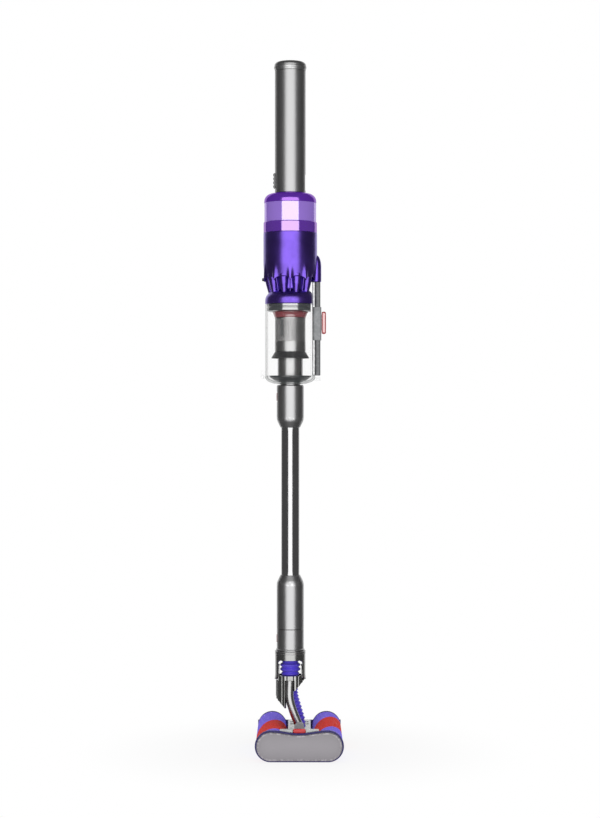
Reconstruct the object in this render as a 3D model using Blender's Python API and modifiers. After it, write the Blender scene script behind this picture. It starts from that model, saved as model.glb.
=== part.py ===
"""Cordless stick vacuum: twin-roller head on castors, bent neck, wand, clear bin, motor body and battery handle.

Metres, +Z up. The origin is on the floor under the middle of the head. The rollers lie along Y and the neck leans
towards +X. Everything from the collar up is turned about the wand axis, which stands at X = WAND_X.
"""

import math

import bmesh
import bpy
from mathutils import Matrix, Vector

# ---------------------------------------------------------------- driving sizes
CLEAR = 0.0003  # gap between pieces that sit against each other
WALL = 0.0022  # moulded shell wall
SIDES = 24  # facets round a large turned piece
WIDE_SIDES = 28  # facets round the bin and the motor body
WAND_X = -0.0142  # wand axis, left of the head's middle

# head
HEAD_LENGTH = 0.208
ROLLER_SPACING = 0.087
ROLLER_R = 0.0230
FRAME_R = 0.0240  # end frame's edge about a roller axis, so also the roller axis height
CAP_INSET = 0.0018  # end cap's edge inside the end frame's
CAP_THICK = 0.0050
FRAME_THICK = 0.0045
CAP_DIP = 0.0045  # dip in the middle of the end cap's top edge
CORE_R = 0.0174
MOTOR_R = 0.0115  # roller motor
ROLLER_AXLE_R = 0.0030
AXLE_BORE_R = 0.0012
CORE_WALL = 0.0050  # closed front end of the core
FOOT_RISE = 0.0020  # parts of an end frame lower than this stand on the floor
BEARING_R = 0.0070
CHASSIS_HALF = 0.0185
CHASSIS_BOTTOM = 0.0040
CHASSIS_TOP = 0.0200
COVER_TOP = 0.0340
SLOT_HALF_X = 0.0080
SLOT_HALF_Y = 0.0620
POST_THICK = 0.0045  # pivot posts on the cover
POST_HALF = 0.0080
POST_RISE = 0.0075
BRIDGE_HALF = 0.0300
BRIDGE_THICK = 0.0040
BRIDGE_DEPTH = 0.0085
RELEASE_HALF = 0.0095
RELEASE_DEPTH = 0.0055
# castors
CASTOR_X = 0.0100
CASTOR_Y = 0.0780
CASTOR_R = 0.0065  # swivel disc
CASTOR_TRAIL = 0.0020
WHEEL_R = 0.0042
WHEEL_HALF = 0.0021
WHEEL_AXLE_R = 0.0009
STEM_R = 0.0020
# neck
PIVOT_Z = 0.0415  # lower pivot, across the head
EYE_R = 0.0070
PIVOT_PIN_R = 0.0025
ARM_R = 0.0065
ARM_TOP_X = -0.0150
ARM_BEND_Z = 0.0840
ARM_SLANT = (-0.0080, 0.0600)  # point on the slanted stretch of an arm
HOSE_TOP_X = -0.0102
HOSE_FOOT_X = 0.0015
HOSE_BENDS = ((-0.0102, 0.0900), (-0.0035, 0.0640), (0.0010, 0.0470))
HOSE_R = 0.0088
ARM_TOP = 0.1120
KNUCKLE_R = 0.0225
KNUCKLE_BORE = 0.0166
KNUCKLE_TOP = 0.1190
KNUCKLE_BASE = 0.0600
SHIELD_LEFT_Z = 0.0840  # left shield's outer corner, then its inner one
SHIELD_LEFT_FOOT = 0.0675
SHIELD_RIGHT_FOOT = 0.0945
SHIELD_RIGHT_Z = 0.1115
EAR_RISE = 0.0060
ROLL_Z = 0.1300  # upper pivot, along X
EAR_THICK = 0.0018
EAR_HALF = 0.0050
COLLAR_R = 0.0236
COLLAR_BORE = 0.0200
COLLAR_TOP = 0.1570
COLLAR_LIP = 0.0090  # solid top of the collar
BORE_R = 0.0140  # air way through the collar
COLLAR_RING = 0.0140  # height of the closed ring over the arms
COLLAR_ARM_HALF = 0.0070
COLLAR_ARM_DROP = 0.0160  # collar arms below the upper pivot
# wand
FITTING_R = 0.0211
TUBE_R = 0.0142
TUBE_WALL = 0.0014
SOCKET_LENGTH = 0.0340
SOCKET_WALL = 0.0039
SOCKET_FLOOR = 0.0047
SPIGOT_LENGTH = 0.0260
LOWER_FITTING_LENGTH = 0.0720
TAPER = 0.0120
TUBE_SHOWN = 0.2300
UPPER_FITTING_LENGTH = 0.0510
TUBE_INSERT = 0.0250  # tube inside each fitting, past the taper
BUTTON_HALF = 0.0050
BUTTON_HEIGHT = 0.0130
BUTTON_PROUD = 0.0008
BUTTON_DEPTH = 0.0030
LOWER_BUTTON_RISE = 0.0125
UPPER_BUTTON_DROP = 0.0215
# bin
PORT_R = 0.0155
PORT_LENGTH = 0.0120
LID_GAP = 0.0046  # wand fitting's shoulder to the lid's underside
LID_DEPTH = 0.0134
BIN_R = 0.0392
BIN_WALL = 0.0020
BIN_HEIGHT = 0.1114
BIN_FLAT = 0.0342  # flat side that the rail lies against
HINGE_OUT = 0.0040  # hinge axis outside the bin wall
HINGE_R = 0.0030
HINGE_PIN_R = 0.0013
LUG_HALF = 0.0037
# shroud and cyclones
SHROUD_R = 0.0241
DUCT_R = 0.0197
SKIRT_R = 0.0295
SKIRT_HEIGHT = 0.0100
CONE_HEIGHT = 0.0090
SEAL_HEIGHT = 0.0120
NECK_RING_R = 0.0394
NECK_RING_HEIGHT = 0.0130
CYCLONE_HEIGHT = 0.0360
CYCLONE_PLACES = 10
CYCLONE_TOP_R = 0.0080
CYCLONE_TIP_R = 0.0042
# motor body, filter, cap
BODY_R = 0.0420
BODY_HEIGHT = 0.0637
WEB_HEIGHT = 0.0170
STATOR_R = 0.0280
ROTOR_R = 0.0150
IMPELLER_R = 0.0220
BLADES = 7
SHAFT_R = 0.0030
FILTER_BAND_HEIGHT = 0.0170
FILTER_R = 0.0405
FILTER_HEIGHT = 0.0460
PLEATS = 24
CAP_R = 0.0408
CAP_HEIGHT = 0.0137
HUB_HEIGHT = 0.0045
# rail
RAIL_OUT = 0.0470
RAIL_HALF = 0.0090
CATCH_PROUD = 0.0015
CATCH_HEIGHT = 0.0520
CATCH_BELOW_TOP = 0.0387
TRIGGER_STEM_HALF = 0.0025
TRIGGER_REACH = 0.0072
TRIGGER_HEIGHT = 0.0350
TRIGGER_HALF = 0.0070
TRIGGER_TRAVEL = 0.0120
BULGE_R = 0.0085
BULGE_RISE = 0.0270  # rail bulge above the foot of the motor housing
# handle
HANDLE_R = 0.0240
HANDLE_WALL = 0.0018
HANDLE_LENGTH = 0.1900
END_CAP_R = 0.0253
END_CAP_HEIGHT = 0.0172
CELL_R = 0.00925
CELL_LENGTH = 0.0650
STATOR_HEIGHT = 0.0220
PACK_FOOT = 0.0320  # cells above the handle's lower edge
SLIDER_FOOT = 0.0070
SLIDER_HEIGHT = 0.0240
SLIDER_RIBS = 4

# ---------------------------------------------------------------- worked-out places
ROLLER_X = ROLLER_SPACING / 2
ROLLER_Z = FRAME_R
HALF_LENGTH = HEAD_LENGTH / 2
FRAME_OUT = HALF_LENGTH - CAP_THICK - CLEAR
FRAME_IN = FRAME_OUT - FRAME_THICK
CHASSIS_END = FRAME_IN - CLEAR
BRIDGE_TOP = 2 * FRAME_R + 0.0004
SOCKET_BASE = COLLAR_TOP + CLEAR
SEAM_Z = COLLAR_TOP + SOCKET_LENGTH
LOWER_TOP = SEAM_Z + LOWER_FITTING_LENGTH
UPPER_BASE = LOWER_TOP + TAPER + TUBE_SHOWN
UPPER_TOP = UPPER_BASE + TAPER + UPPER_FITTING_LENGTH
TUBE_BORE = TUBE_R - TUBE_WALL
LID_BASE = UPPER_TOP + LID_GAP
LID_TOP = LID_BASE + LID_DEPTH
BIN_BASE = LID_TOP + CLEAR
BIN_TOP = BIN_BASE + BIN_HEIGHT
RING_BASE = BIN_TOP + CLEAR
RING_TOP = RING_BASE + NECK_RING_HEIGHT
BODY_BASE = RING_TOP + CYCLONE_HEIGHT
BODY_TOP = BODY_BASE + BODY_HEIGHT
FILTER_BASE = BODY_TOP + CLEAR
FILTER_TOP = FILTER_BASE + FILTER_HEIGHT
CAP_BASE = FILTER_TOP + CLEAR
CAP_TOP = CAP_BASE + CAP_HEIGHT
HANDLE_BASE = CAP_TOP + CLEAR
HANDLE_TOP = HANDLE_BASE + HANDLE_LENGTH
SEAL_BASE = BIN_TOP - SEAL_HEIGHT
SHROUD_TOP = SEAL_BASE - CONE_HEIGHT
DUCT_BASE = LID_BASE + 0.0095
SKIRT_TOP = DUCT_BASE + 0.0410
RAIL_IN = BIN_FLAT + CLEAR
RAIL_TOP = BODY_BASE - 0.0153
CATCH_TOP = RAIL_TOP - CATCH_BELOW_TOP
HINGE_X = WAND_X - BIN_R - HINGE_OUT
HINGE_Z = BIN_BASE - 0.0023
MIDDLE = (WAND_X, 0.0, 0.0)
WHEEL_Z = WHEEL_R + CLEAR
WHEEL_TOP = WHEEL_Z + WHEEL_R
EYE_IN = HOSE_R + 0.0004
EYE_OUT = KNUCKLE_R - CLEAR
POST_IN = EYE_OUT + CLEAR
POST_OUT = POST_IN + POST_THICK
ARM_Y = (EYE_IN + EYE_OUT) / 2
REAR_WAIST = COVER_TOP - 0.0010
SPIGOT_R = FITTING_R - SOCKET_WALL - CLEAR

PARTS = bpy.data.collections.new("cordless_stick_vacuum")
CUTTERS = bpy.data.collections.new("cutters")


# ---------------------------------------------------------------- materials
def material(name, colour, roughness, metallic=0.0, alpha=1.0):
    made = bpy.data.materials.new(name)
    made.use_nodes = True
    made.diffuse_color = (*colour, 1.0)
    shader = made.node_tree.nodes["Principled BSDF"]
    shader.inputs["Base Color"].default_value = (*colour, 1.0)
    shader.inputs["Roughness"].default_value = roughness
    shader.inputs["Metallic"].default_value = metallic
    shader.inputs["Alpha"].default_value = alpha
    return made


# ---------------------------------------------------------------- shapes
def place(name, data, finish, helper=False):
    """Links new geometry as a part, or as a hidden helper."""
    made = bpy.data.objects.new(name, data)
    (CUTTERS if helper else PARTS).objects.link(made)
    if helper:
        made.hide_render = True
        made.display_type = "WIRE"
    else:
        data.materials.append(finish)
    return made


def box(name, low, high, finish=None, bevel=0.0):
    """A box between two corners, its edges rounded where a bevel is given. Without a finish it is a helper."""
    low, high = Vector(low), Vector(high)
    form = bmesh.new()
    bmesh.ops.create_cube(form, size=1.0)
    bmesh.ops.scale(form, vec=high - low, verts=form.verts)
    data = bpy.data.meshes.new(name)
    form.to_mesh(data)
    form.free()
    made = place(name, data, finish, finish is None)
    made.location = (low + high) / 2
    if bevel:
        soften(made, bevel)
    return made


def soften(made, width, segments=2):
    rounding = made.modifiers.new("rounding", "BEVEL")
    rounding.width = width
    rounding.segments = segments
    rounding.limit_method = "ANGLE"
    rounding.angle_limit = math.radians(40)


def rod(name, start, end, r_start, finish=None, r_end=None, sides=16):
    """A round bar or a cone between two points. Without a finish it is a helper."""
    start, end = Vector(start), Vector(end)
    form = bmesh.new()
    bmesh.ops.create_cone(
        form, cap_ends=True, segments=sides, radius1=r_start,
        radius2=r_start if r_end is None else r_end, depth=(end - start).length,
    )
    data = bpy.data.meshes.new(name)
    form.to_mesh(data)
    form.free()
    made = place(name, data, finish, finish is None)
    made.location = (start + end) / 2
    made.rotation_euler = (end - start).to_track_quat("Z", "Y").to_euler()
    return made


def turned(name, profile, centre=MIDDLE, axis="Z", finish=None, sides=SIDES):
    """Turns (radius, height) points, outer side first from the top down, about an axis through the centre."""
    data = bpy.data.meshes.new(name)
    points = [(r, 0.0, h) for r, h in profile]
    last = len(points) - 1
    edges = [(i, i + 1) for i in range(last)]
    if profile[0][0] > 0:
        edges.append((last, 0))
    data.from_pydata(points, edges, [])
    made = place(name, data, finish, finish is None)
    made.location = centre
    if axis == "Y":
        made.rotation_euler = (-math.pi / 2, 0, 0)
    elif axis == "X":
        made.rotation_euler = (0, math.pi / 2, 0)
    spin = made.modifiers.new("turn", "SCREW")
    spin.steps = spin.render_steps = sides
    spin.use_merge_vertices = True
    spin.merge_threshold = 0.00001
    spin.use_smooth_shade = True
    return made


def plate(name, outline, y_low, y_high, finish=None):
    """An outline of (x, z) points, thickened along Y."""
    flat = bpy.data.curves.new(name, "CURVE")
    flat.dimensions = "2D"
    flat.fill_mode = "BOTH"
    flat.extrude = (y_high - y_low) / 2
    edge = flat.splines.new("POLY")
    edge.points.add(len(outline) - 1)
    for point, (x, z) in zip(edge.points, outline):
        point.co = (x, z, 0.0, 1.0)
    edge.use_cyclic_u = True
    made = bpy.data.objects.new(name, flat)
    PARTS.objects.link(made)
    made.location = (0.0, (y_low + y_high) / 2, 0.0)
    made.rotation_euler = (math.pi / 2, 0, 0)
    return as_mesh(made, finish)


def tube(name, points, radius, finish=None, steps=4):
    """A round tube through the points, on a smooth curve, with its ends filled."""
    path = bpy.data.curves.new(name, "CURVE")
    path.dimensions = "3D"
    path.bevel_depth = radius
    path.bevel_resolution = 2
    path.resolution_u = steps
    path.use_fill_caps = True
    line = path.splines.new("BEZIER")
    line.bezier_points.add(len(points) - 1)
    for point, where in zip(line.bezier_points, points):
        point.co = where
        point.handle_left_type = point.handle_right_type = "AUTO"
    made = bpy.data.objects.new(name, path)
    PARTS.objects.link(made)
    return as_mesh(made, finish)


def as_mesh(curve, finish):
    """Makes a mesh object of a curve, so that it can be cut and joined. Without a finish it is a helper."""
    bpy.context.view_layer.update()
    graph = bpy.context.evaluated_depsgraph_get()
    data = bpy.data.meshes.new_from_object(curve.evaluated_get(graph))
    form = bmesh.new()
    form.from_mesh(data)
    bmesh.ops.remove_doubles(form, verts=form.verts, dist=0.00001)
    bmesh.ops.recalc_face_normals(form, faces=form.faces)
    form.to_mesh(data)
    form.free()
    name, matrix = curve.name, curve.matrix_world.copy()
    bpy.data.objects.remove(curve)
    made = place(name, data, finish, finish is None)
    made.matrix_world = matrix
    return made


def boolean(made, operation, *tools):
    for tool in tools:
        step = made.modifiers.new(operation.lower(), "BOOLEAN")
        step.operation = operation
        step.object = tool


def cut(made, *tools):
    boolean(made, "DIFFERENCE", *tools)


def join(made, *tools):
    boolean(made, "UNION", *tools)


def at(radius, y, z):
    """A point by its distance from the wand axis along X."""
    return (WAND_X + radius, y, z)


def end_outline(radius, dip, waist=None, arc_steps=10, dip_steps=8):
    """The end of the head: an arc about each roller axis, a flat foot, and a top edge that dips or narrows."""
    arc = [-math.pi / 2 + math.pi * i / arc_steps for i in range(arc_steps + 1)]
    right = [(ROLLER_X + radius * math.cos(a), ROLLER_Z + radius * math.sin(a)) for a in arc]
    left = [(-x, z) for x, z in reversed(right)]
    top = ROLLER_Z + radius
    if waist is not None:
        reach = ROLLER_X - math.sqrt(radius**2 - (waist - ROLLER_Z) ** 2)
        inner = [(x, z) for x, z in arc_points(ROLLER_X, ROLLER_Z, radius, 90, 150, 5) if z > waist]
        middle = inner + [(reach, waist), (-reach, waist)] + [(-x, z) for x, z in reversed(inner)]
        return right[:-1] + middle + left[1:]
    spread = [ROLLER_X * (1 - 2 * i / dip_steps) for i in range(1, dip_steps)]
    middle = [(x, top - dip * math.cos(math.pi * x / ROLLER_SPACING) ** 2) for x in spread]
    return right + middle + left


def arc_points(x, z, radius, start, end, steps):
    """Points on an arc, angles in degrees."""
    turns = [math.radians(start + (end - start) * i / steps) for i in range(steps + 1)]
    return [(x + radius * math.cos(a), z + radius * math.sin(a)) for a in turns]


# ---------------------------------------------------------------- head
def end_pieces(finish_frame, finish_cap):
    """Front end: a wide frame and cap. Rear end: the same feet with a low waist between the rollers."""
    shapes = {
        "front": (-1, dict(dip=CAP_DIP)),
        "rear": (1, dict(dip=0.0, waist=REAR_WAIST)),
    }
    for label, (side, edge) in shapes.items():
        inner, outer = sorted((side * FRAME_IN, side * FRAME_OUT))
        radius = FRAME_R if side < 0 else ROLLER_R
        lift = ROLLER_Z - radius
        outline = [(x, z - lift if z < FOOT_RISE else z) for x, z in end_outline(radius, **edge)]
        frame = plate("end_frame_" + label, outline, inner, outer, finish_frame)
        cap_outline = end_outline(radius - CAP_INSET, **edge)
        low, high = sorted((side * (FRAME_OUT + CLEAR), side * HALF_LENGTH))
        cap = plate("end_cap_" + label, cap_outline, low, high, finish_cap)
        soften(cap, 0.0012)
        for x in (-ROLLER_X, ROLLER_X):
            if side < 0:
                seat = (x, -FRAME_IN + 0.001, ROLLER_Z), (x, -FRAME_OUT + 0.0012, ROLLER_Z)
                cut(frame, rod(f"bearing_seat_{x:.3f}", *seat, BEARING_R + CLEAR, sides=20))


def roller(tag, x, finishes):
    """A roller: bearing at the front, fleece sleeve on a core tube, and the motor held by the rear frame."""
    core_end = CHASSIS_END - 0.0012
    bearing_y = -FRAME_OUT + 0.0014
    bearing_in = -FRAME_IN - 0.0004
    turned(
        "roller_bearing_" + tag,
        [(BEARING_R, bearing_in), (BEARING_R, bearing_y),
         (ROLLER_AXLE_R + CLEAR, bearing_y), (ROLLER_AXLE_R + CLEAR, bearing_in)],
        (x, 0, ROLLER_Z), "Y", finishes["steel"], 16,
    )
    bore = MOTOR_R + 0.0010
    wall_in = -core_end + CORE_WALL
    axle_tip = bearing_y + CLEAR
    turned(
        "roller_core_" + tag,
        [(CORE_R, core_end), (CORE_R, -core_end), (ROLLER_AXLE_R, -core_end),
         (ROLLER_AXLE_R, axle_tip), (AXLE_BORE_R, axle_tip), (AXLE_BORE_R, wall_in),
         (bore, wall_in), (bore, core_end)],
        (x, 0, ROLLER_Z), "Y", finishes["core"], 24,
    )
    sleeve_end = core_end - 0.0010
    turned(
        "roller_sleeve_" + tag,
        [(ROLLER_R - 0.0008, sleeve_end), (ROLLER_R, sleeve_end - 0.0015), (ROLLER_R, 0.0015 - sleeve_end),
         (ROLLER_R - 0.0008, -sleeve_end), (CORE_R + CLEAR, -sleeve_end), (CORE_R + CLEAR, sleeve_end)],
        (x, 0, ROLLER_Z), "Y", finishes["fleece"], 28,
    )
    tail = CHASSIS_END
    turned(
        "roller_motor_" + tag,
        [(0.0, tail), (0.0060, tail), (0.0060, tail - 0.0060), (MOTOR_R, tail - 0.0070), (MOTOR_R, tail - 0.0900),
         (0.0040, tail - 0.0915), (0.0020, tail - 0.0915), (0.0020, tail - 0.1000), (0.0, tail - 0.1000)],
        (x, 0, ROLLER_Z), "Y", finishes["steel"], 16,
    )


def chassis_and_cover(finishes):
    chassis = box(
        "head_chassis", (-CHASSIS_HALF, -CHASSIS_END, CHASSIS_BOTTOM), (CHASSIS_HALF, CHASSIS_END, CHASSIS_TOP),
        finishes["frame"],
    )
    over = 0.0010
    cut(chassis, box("suction_slot", (-SLOT_HALF_X, -SLOT_HALF_Y, CHASSIS_BOTTOM - over),
                     (SLOT_HALF_X, SLOT_HALF_Y, CHASSIS_TOP + over)))
    for index, (x, y) in enumerate(castor_places(), 1):
        pocket_top = WHEEL_TOP + 0.0052
        cut(
            chassis,
            rod(f"castor_pocket_{index}", (x, y, CHASSIS_BOTTOM - over), (x, y, pocket_top), CASTOR_R + 0.0007,
                sides=20),
            rod(f"castor_bore_{index}", (x, y, pocket_top - over), (x, y, CHASSIS_TOP - over), STEM_R + CLEAR),
        )
    base = CHASSIS_TOP + CLEAR
    cover = box("head_cover", (-CHASSIS_HALF, -CHASSIS_END, base), (CHASSIS_HALF, CHASSIS_END, COVER_TOP),
                finishes["clear_grey"])
    cut(cover, box("cover_hollow", (WALL - CHASSIS_HALF, WALL - CHASSIS_END, base - over),
                   (CHASSIS_HALF - WALL, CHASSIS_END - WALL, COVER_TOP - WALL)))
    cut(cover, rod("hose_port", (HOSE_FOOT_X, 0, COVER_TOP - 2 * WALL), (HOSE_FOOT_X, 0, COVER_TOP + over),
                   HOSE_R - 0.0020, sides=20))
    web_in = -CHASSIS_END + BRIDGE_DEPTH
    join(
        cover,
        box("bridge_web", (-CHASSIS_HALF + 0.0005, -CHASSIS_END, COVER_TOP - 0.0010),
            (CHASSIS_HALF - 0.0005, web_in, BRIDGE_TOP - 0.0010)),
        box("bridge", (-BRIDGE_HALF, -CHASSIS_END, BRIDGE_TOP - BRIDGE_THICK), (BRIDGE_HALF, web_in, BRIDGE_TOP)),
    )
    release_y = -CHASSIS_END + RELEASE_DEPTH
    cut(cover, box("release_notch", (-RELEASE_HALF - CLEAR, -CHASSIS_END - over, BRIDGE_TOP - 0.0110),
                   (RELEASE_HALF + CLEAR, release_y + CLEAR, BRIDGE_TOP + over)))
    for side in (-1, 1):
        low, high = sorted((side * POST_IN, side * POST_OUT))
        join(cover, box(f"pivot_post_{side}", (-POST_HALF, low, COVER_TOP - 0.0010), (POST_HALF, high, PIVOT_Z + POST_RISE)))
        cut(cover, rod(f"post_bore_{side}", (0, low - over, PIVOT_Z), (0, high + over, PIVOT_Z),
                       PIVOT_PIN_R + CLEAR))
    for label, side in (("front", -1), ("back", 1)):
        ends = sorted((side * (EYE_IN + 0.0005), side * (POST_OUT - 0.0003)))
        rod("lower_pivot_pin_" + label, (0, ends[0], PIVOT_Z), (0, ends[1], PIVOT_Z), PIVOT_PIN_R,
            finishes["steel"], sides=12)
    box("end_cap_release", (-RELEASE_HALF, -CHASSIS_END + 0.0002, BRIDGE_TOP - 0.0078),
        (RELEASE_HALF, release_y, BRIDGE_TOP + 0.0010), finishes["red"], 0.0010)


def castor_places():
    return [(x, y) for y in (-CASTOR_Y, CASTOR_Y) for x in (-CASTOR_X, CASTOR_X)]


def castors(finishes):
    """Each castor: a swivel fork with its stem and axle, and a small wheel that trails it."""
    for index, (x, y) in enumerate(castor_places(), 1):
        disc = WHEEL_TOP + 0.0006
        fork = turned(
            f"castor_fork_{index}",
            [(0.0, disc + 0.0080), (STEM_R, disc + 0.0080), (STEM_R, disc + 0.0040), (CASTOR_R, disc + 0.0040),
             (CASTOR_R, disc), (0.0, disc)],
            (x, y, 0), "Z", finishes["dark"], 16,
        )
        ear_in = WHEEL_HALF + CLEAR
        ear_out = ear_in + 0.0015
        for side in (-1, 1):
            low, high = sorted((y + side * ear_in, y + side * ear_out))
            join(fork, box(f"fork_ear_{index}_{side}", (x - 0.0010, low, WHEEL_Z - 0.0018),
                           (x + CASTOR_TRAIL + 0.0018, high, disc + 0.0010)))
        wheel_x = x + CASTOR_TRAIL
        join(fork, rod(f"fork_axle_{index}", (wheel_x, y - ear_out + 0.0004, WHEEL_Z),
                       (wheel_x, y + ear_out - 0.0004, WHEEL_Z), WHEEL_AXLE_R, sides=10))
        turned(
            f"castor_wheel_{index}",
            [(WHEEL_R, WHEEL_HALF), (WHEEL_R, -WHEEL_HALF), (WHEEL_AXLE_R + CLEAR, -WHEEL_HALF),
             (WHEEL_AXLE_R + CLEAR, WHEEL_HALF)],
            (wheel_x, y, WHEEL_Z), "Y", finishes["rubber"], 16,
        )


# ---------------------------------------------------------------- neck
def neck(finishes):
    """The bent arms with their pivot eyes, the slanted knuckle over them, and the two flexible pieces."""
    route = [(ARM_TOP_X, ARM_TOP), (ARM_TOP_X, ARM_BEND_Z), ARM_SLANT, (0.0, PIVOT_Z)]
    arm = tube("neck_arm", [(x, -ARM_Y, z) for x, z in route], ARM_R, finishes["silver"])
    back = tube("neck_arm_back", [(x, ARM_Y, z) for x, z in route], ARM_R)
    web_x = HOSE_TOP_X - HOSE_R - 4 * CLEAR
    web_y = ARM_Y - 0.0022
    join(arm, box("arm_web", (web_x - 0.0025, -web_y, 0.0780), (web_x, web_y, 0.1080)), back)
    for side in (-1, 1):
        low, high = sorted((side * EYE_IN, side * EYE_OUT))
        join(arm, rod(f"arm_eye_{side}", (0, low, PIVOT_Z), (0, high, PIVOT_Z), EYE_R, sides=24))
        cut(arm, rod(f"eye_bore_{side}", (0, low - 0.001, PIVOT_Z), (0, high + 0.001, PIVOT_Z),
                     PIVOT_PIN_R + CLEAR))

    knuckle = turned(
        "neck_knuckle",
        [(KNUCKLE_R, KNUCKLE_TOP), (KNUCKLE_R, KNUCKLE_BASE), (KNUCKLE_BORE, KNUCKLE_BASE),
         (KNUCKLE_BORE, KNUCKLE_TOP)],
        finish=finishes["grey"],
    )
    over = 0.0020
    left, right = WAND_X - KNUCKLE_R - over, WAND_X + KNUCKLE_R + over
    slot_left, slot_right = ARM_TOP_X - ARM_R - 4 * CLEAR, ARM_TOP_X + ARM_R + 4 * CLEAR
    outline = [(left, KNUCKLE_TOP + over), (left, SHIELD_LEFT_Z + over), (slot_left, SHIELD_LEFT_FOOT),
               (slot_right, SHIELD_RIGHT_FOOT), (right, SHIELD_RIGHT_Z + over), (right, KNUCKLE_TOP + over)]
    boolean(knuckle, "INTERSECT", plate("knuckle_outline", outline, -0.030, 0.030))
    cut(knuckle, box("arm_slots", (slot_left, -0.030, 0.0500), (slot_right, 0.030, ARM_TOP + CLEAR)))
    ear_out = KNUCKLE_BORE + EAR_THICK
    for side in (-1, 1):
        low, high = sorted((WAND_X + side * ear_out, WAND_X + side * 0.030))
        cut(knuckle, box(f"arm_sweep_{side}", (low, -0.030, ROLL_Z - COLLAR_ARM_DROP - 0.0025),
                         (high, 0.030, KNUCKLE_TOP + over)))
        low, high = sorted((WAND_X + side * KNUCKLE_BORE, WAND_X + side * ear_out))
        join(knuckle, box(f"ear_{side}", (low, -EAR_HALF, ARM_TOP - over), (high, EAR_HALF, ROLL_Z + EAR_RISE)))
        low, high = sorted((WAND_X + side * (KNUCKLE_BORE - over), WAND_X + side * (ear_out + over)))
        cut(knuckle, rod(f"ear_bore_{side}", (low, 0, ROLL_Z), (high, 0, ROLL_Z), PIVOT_PIN_R + CLEAR))
    for label, side in (("left", -1), ("right", 1)):
        low, high = sorted((WAND_X + side * (KNUCKLE_BORE + CLEAR), WAND_X + side * (COLLAR_R - 0.0004)))
        rod("upper_pivot_pin_" + label, (low, 0, ROLL_Z), (high, 0, ROLL_Z), PIVOT_PIN_R, finishes["steel"],
            sides=12)

    bends = [(x, 0, z) for x, z in HOSE_BENDS]
    tube("neck_hose", [(HOSE_TOP_X, 0, ARM_TOP), *bends, (HOSE_FOOT_X, 0, COVER_TOP + 4 * CLEAR)],
         HOSE_R, finishes["purple_rubber"], 3)
    bellows_r = KNUCKLE_BORE - 0.0004
    bellows_top = COLLAR_TOP - COLLAR_LIP - CLEAR
    turned(
        "neck_bellows",
        [(bellows_r, bellows_top), (bellows_r, ARM_TOP + 0.0020), (bellows_r - 0.0030, ARM_TOP + 0.0020),
         (bellows_r - 0.0030, bellows_top)],
        finish=finishes["purple_rubber"], sides=24,
    )


def collar_and_socket(finishes):
    arm_foot = ROLL_Z - COLLAR_ARM_DROP
    collar = turned(
        "neck_collar",
        [(COLLAR_R, COLLAR_TOP), (COLLAR_R, arm_foot), (COLLAR_BORE, arm_foot), (COLLAR_BORE, COLLAR_TOP - COLLAR_LIP),
         (BORE_R, COLLAR_TOP - COLLAR_LIP), (BORE_R, COLLAR_TOP)],
        finish=finishes["grey"],
    )
    ring_base = COLLAR_TOP - COLLAR_RING
    for side in (-1, 1):
        low, high = sorted((side * COLLAR_ARM_HALF, side * 0.030))
        cut(collar, box(f"collar_window_{side}", at(-0.030, low, arm_foot - 0.001), at(0.030, high, ring_base)))
    cut(collar, rod("collar_bore", at(-0.030, 0, ROLL_Z), at(0.030, 0, ROLL_Z), PIVOT_PIN_R + CLEAR))

    bore = FITTING_R - SOCKET_WALL
    top = SEAM_Z - CLEAR / 2
    socket = turned(
        "head_socket",
        [(FITTING_R, top), (FITTING_R, SOCKET_BASE), (BORE_R, SOCKET_BASE), (BORE_R, SOCKET_BASE + SOCKET_FLOOR),
         (bore, SOCKET_BASE + SOCKET_FLOOR), (bore, top)],
        finish=finishes["grey"],
    )
    side_button("head_release_button", socket, SOCKET_BASE + LOWER_BUTTON_RISE, finishes["red"], SOCKET_WALL + 0.0012)


def side_button(name, housing, base, finish, depth):
    """A red push button in a pocket on the -X side of a turned housing."""
    top = base + BUTTON_HEIGHT
    outer = -FITTING_R - BUTTON_PROUD
    cut(housing, box(name + "_pocket", at(outer - 0.001, -BUTTON_HALF - CLEAR, base - CLEAR),
                     at(-FITTING_R + depth, BUTTON_HALF + CLEAR, top + CLEAR)))
    box(name, at(outer, -BUTTON_HALF, base), at(outer + BUTTON_DEPTH, BUTTON_HALF, top), finish, 0.0006)


# ---------------------------------------------------------------- wand
def wand(finishes):
    base = SEAM_Z + CLEAR / 2
    seat = TUBE_R + CLEAR
    tube_base = LOWER_TOP - TUBE_INSERT
    tube_top = UPPER_BASE + TAPER + TUBE_INSERT
    turned(
        "wand_lower_fitting",
        [(TUBE_R + 0.0012, LOWER_TOP + TAPER), (FITTING_R, LOWER_TOP), (FITTING_R, base), (SPIGOT_R, base),
         (SPIGOT_R, SEAM_Z - SPIGOT_LENGTH), (TUBE_BORE, SEAM_Z - SPIGOT_LENGTH), (TUBE_BORE, tube_base - CLEAR),
         (seat, tube_base - CLEAR), (seat, LOWER_TOP + TAPER)],
        finish=finishes["grey"],
    )
    turned("wand_tube", [(TUBE_R, tube_top), (TUBE_R, tube_base), (TUBE_BORE, tube_base), (TUBE_BORE, tube_top)],
           finish=finishes["silver"], sides=24)
    upper = turned(
        "wand_upper_fitting",
        [(PORT_R, UPPER_TOP + PORT_LENGTH), (PORT_R, UPPER_TOP), (FITTING_R, UPPER_TOP - 0.0010),
         (FITTING_R, UPPER_BASE + TAPER), (TUBE_R + 0.0012, UPPER_BASE), (seat, UPPER_BASE),
         (seat, tube_top + CLEAR), (TUBE_BORE, tube_top + CLEAR), (TUBE_BORE, UPPER_TOP + PORT_LENGTH)],
        finish=finishes["grey"],
    )
    side_button("wand_release_button", upper, UPPER_TOP - UPPER_BUTTON_DROP, finishes["red"], 0.0055)


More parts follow.
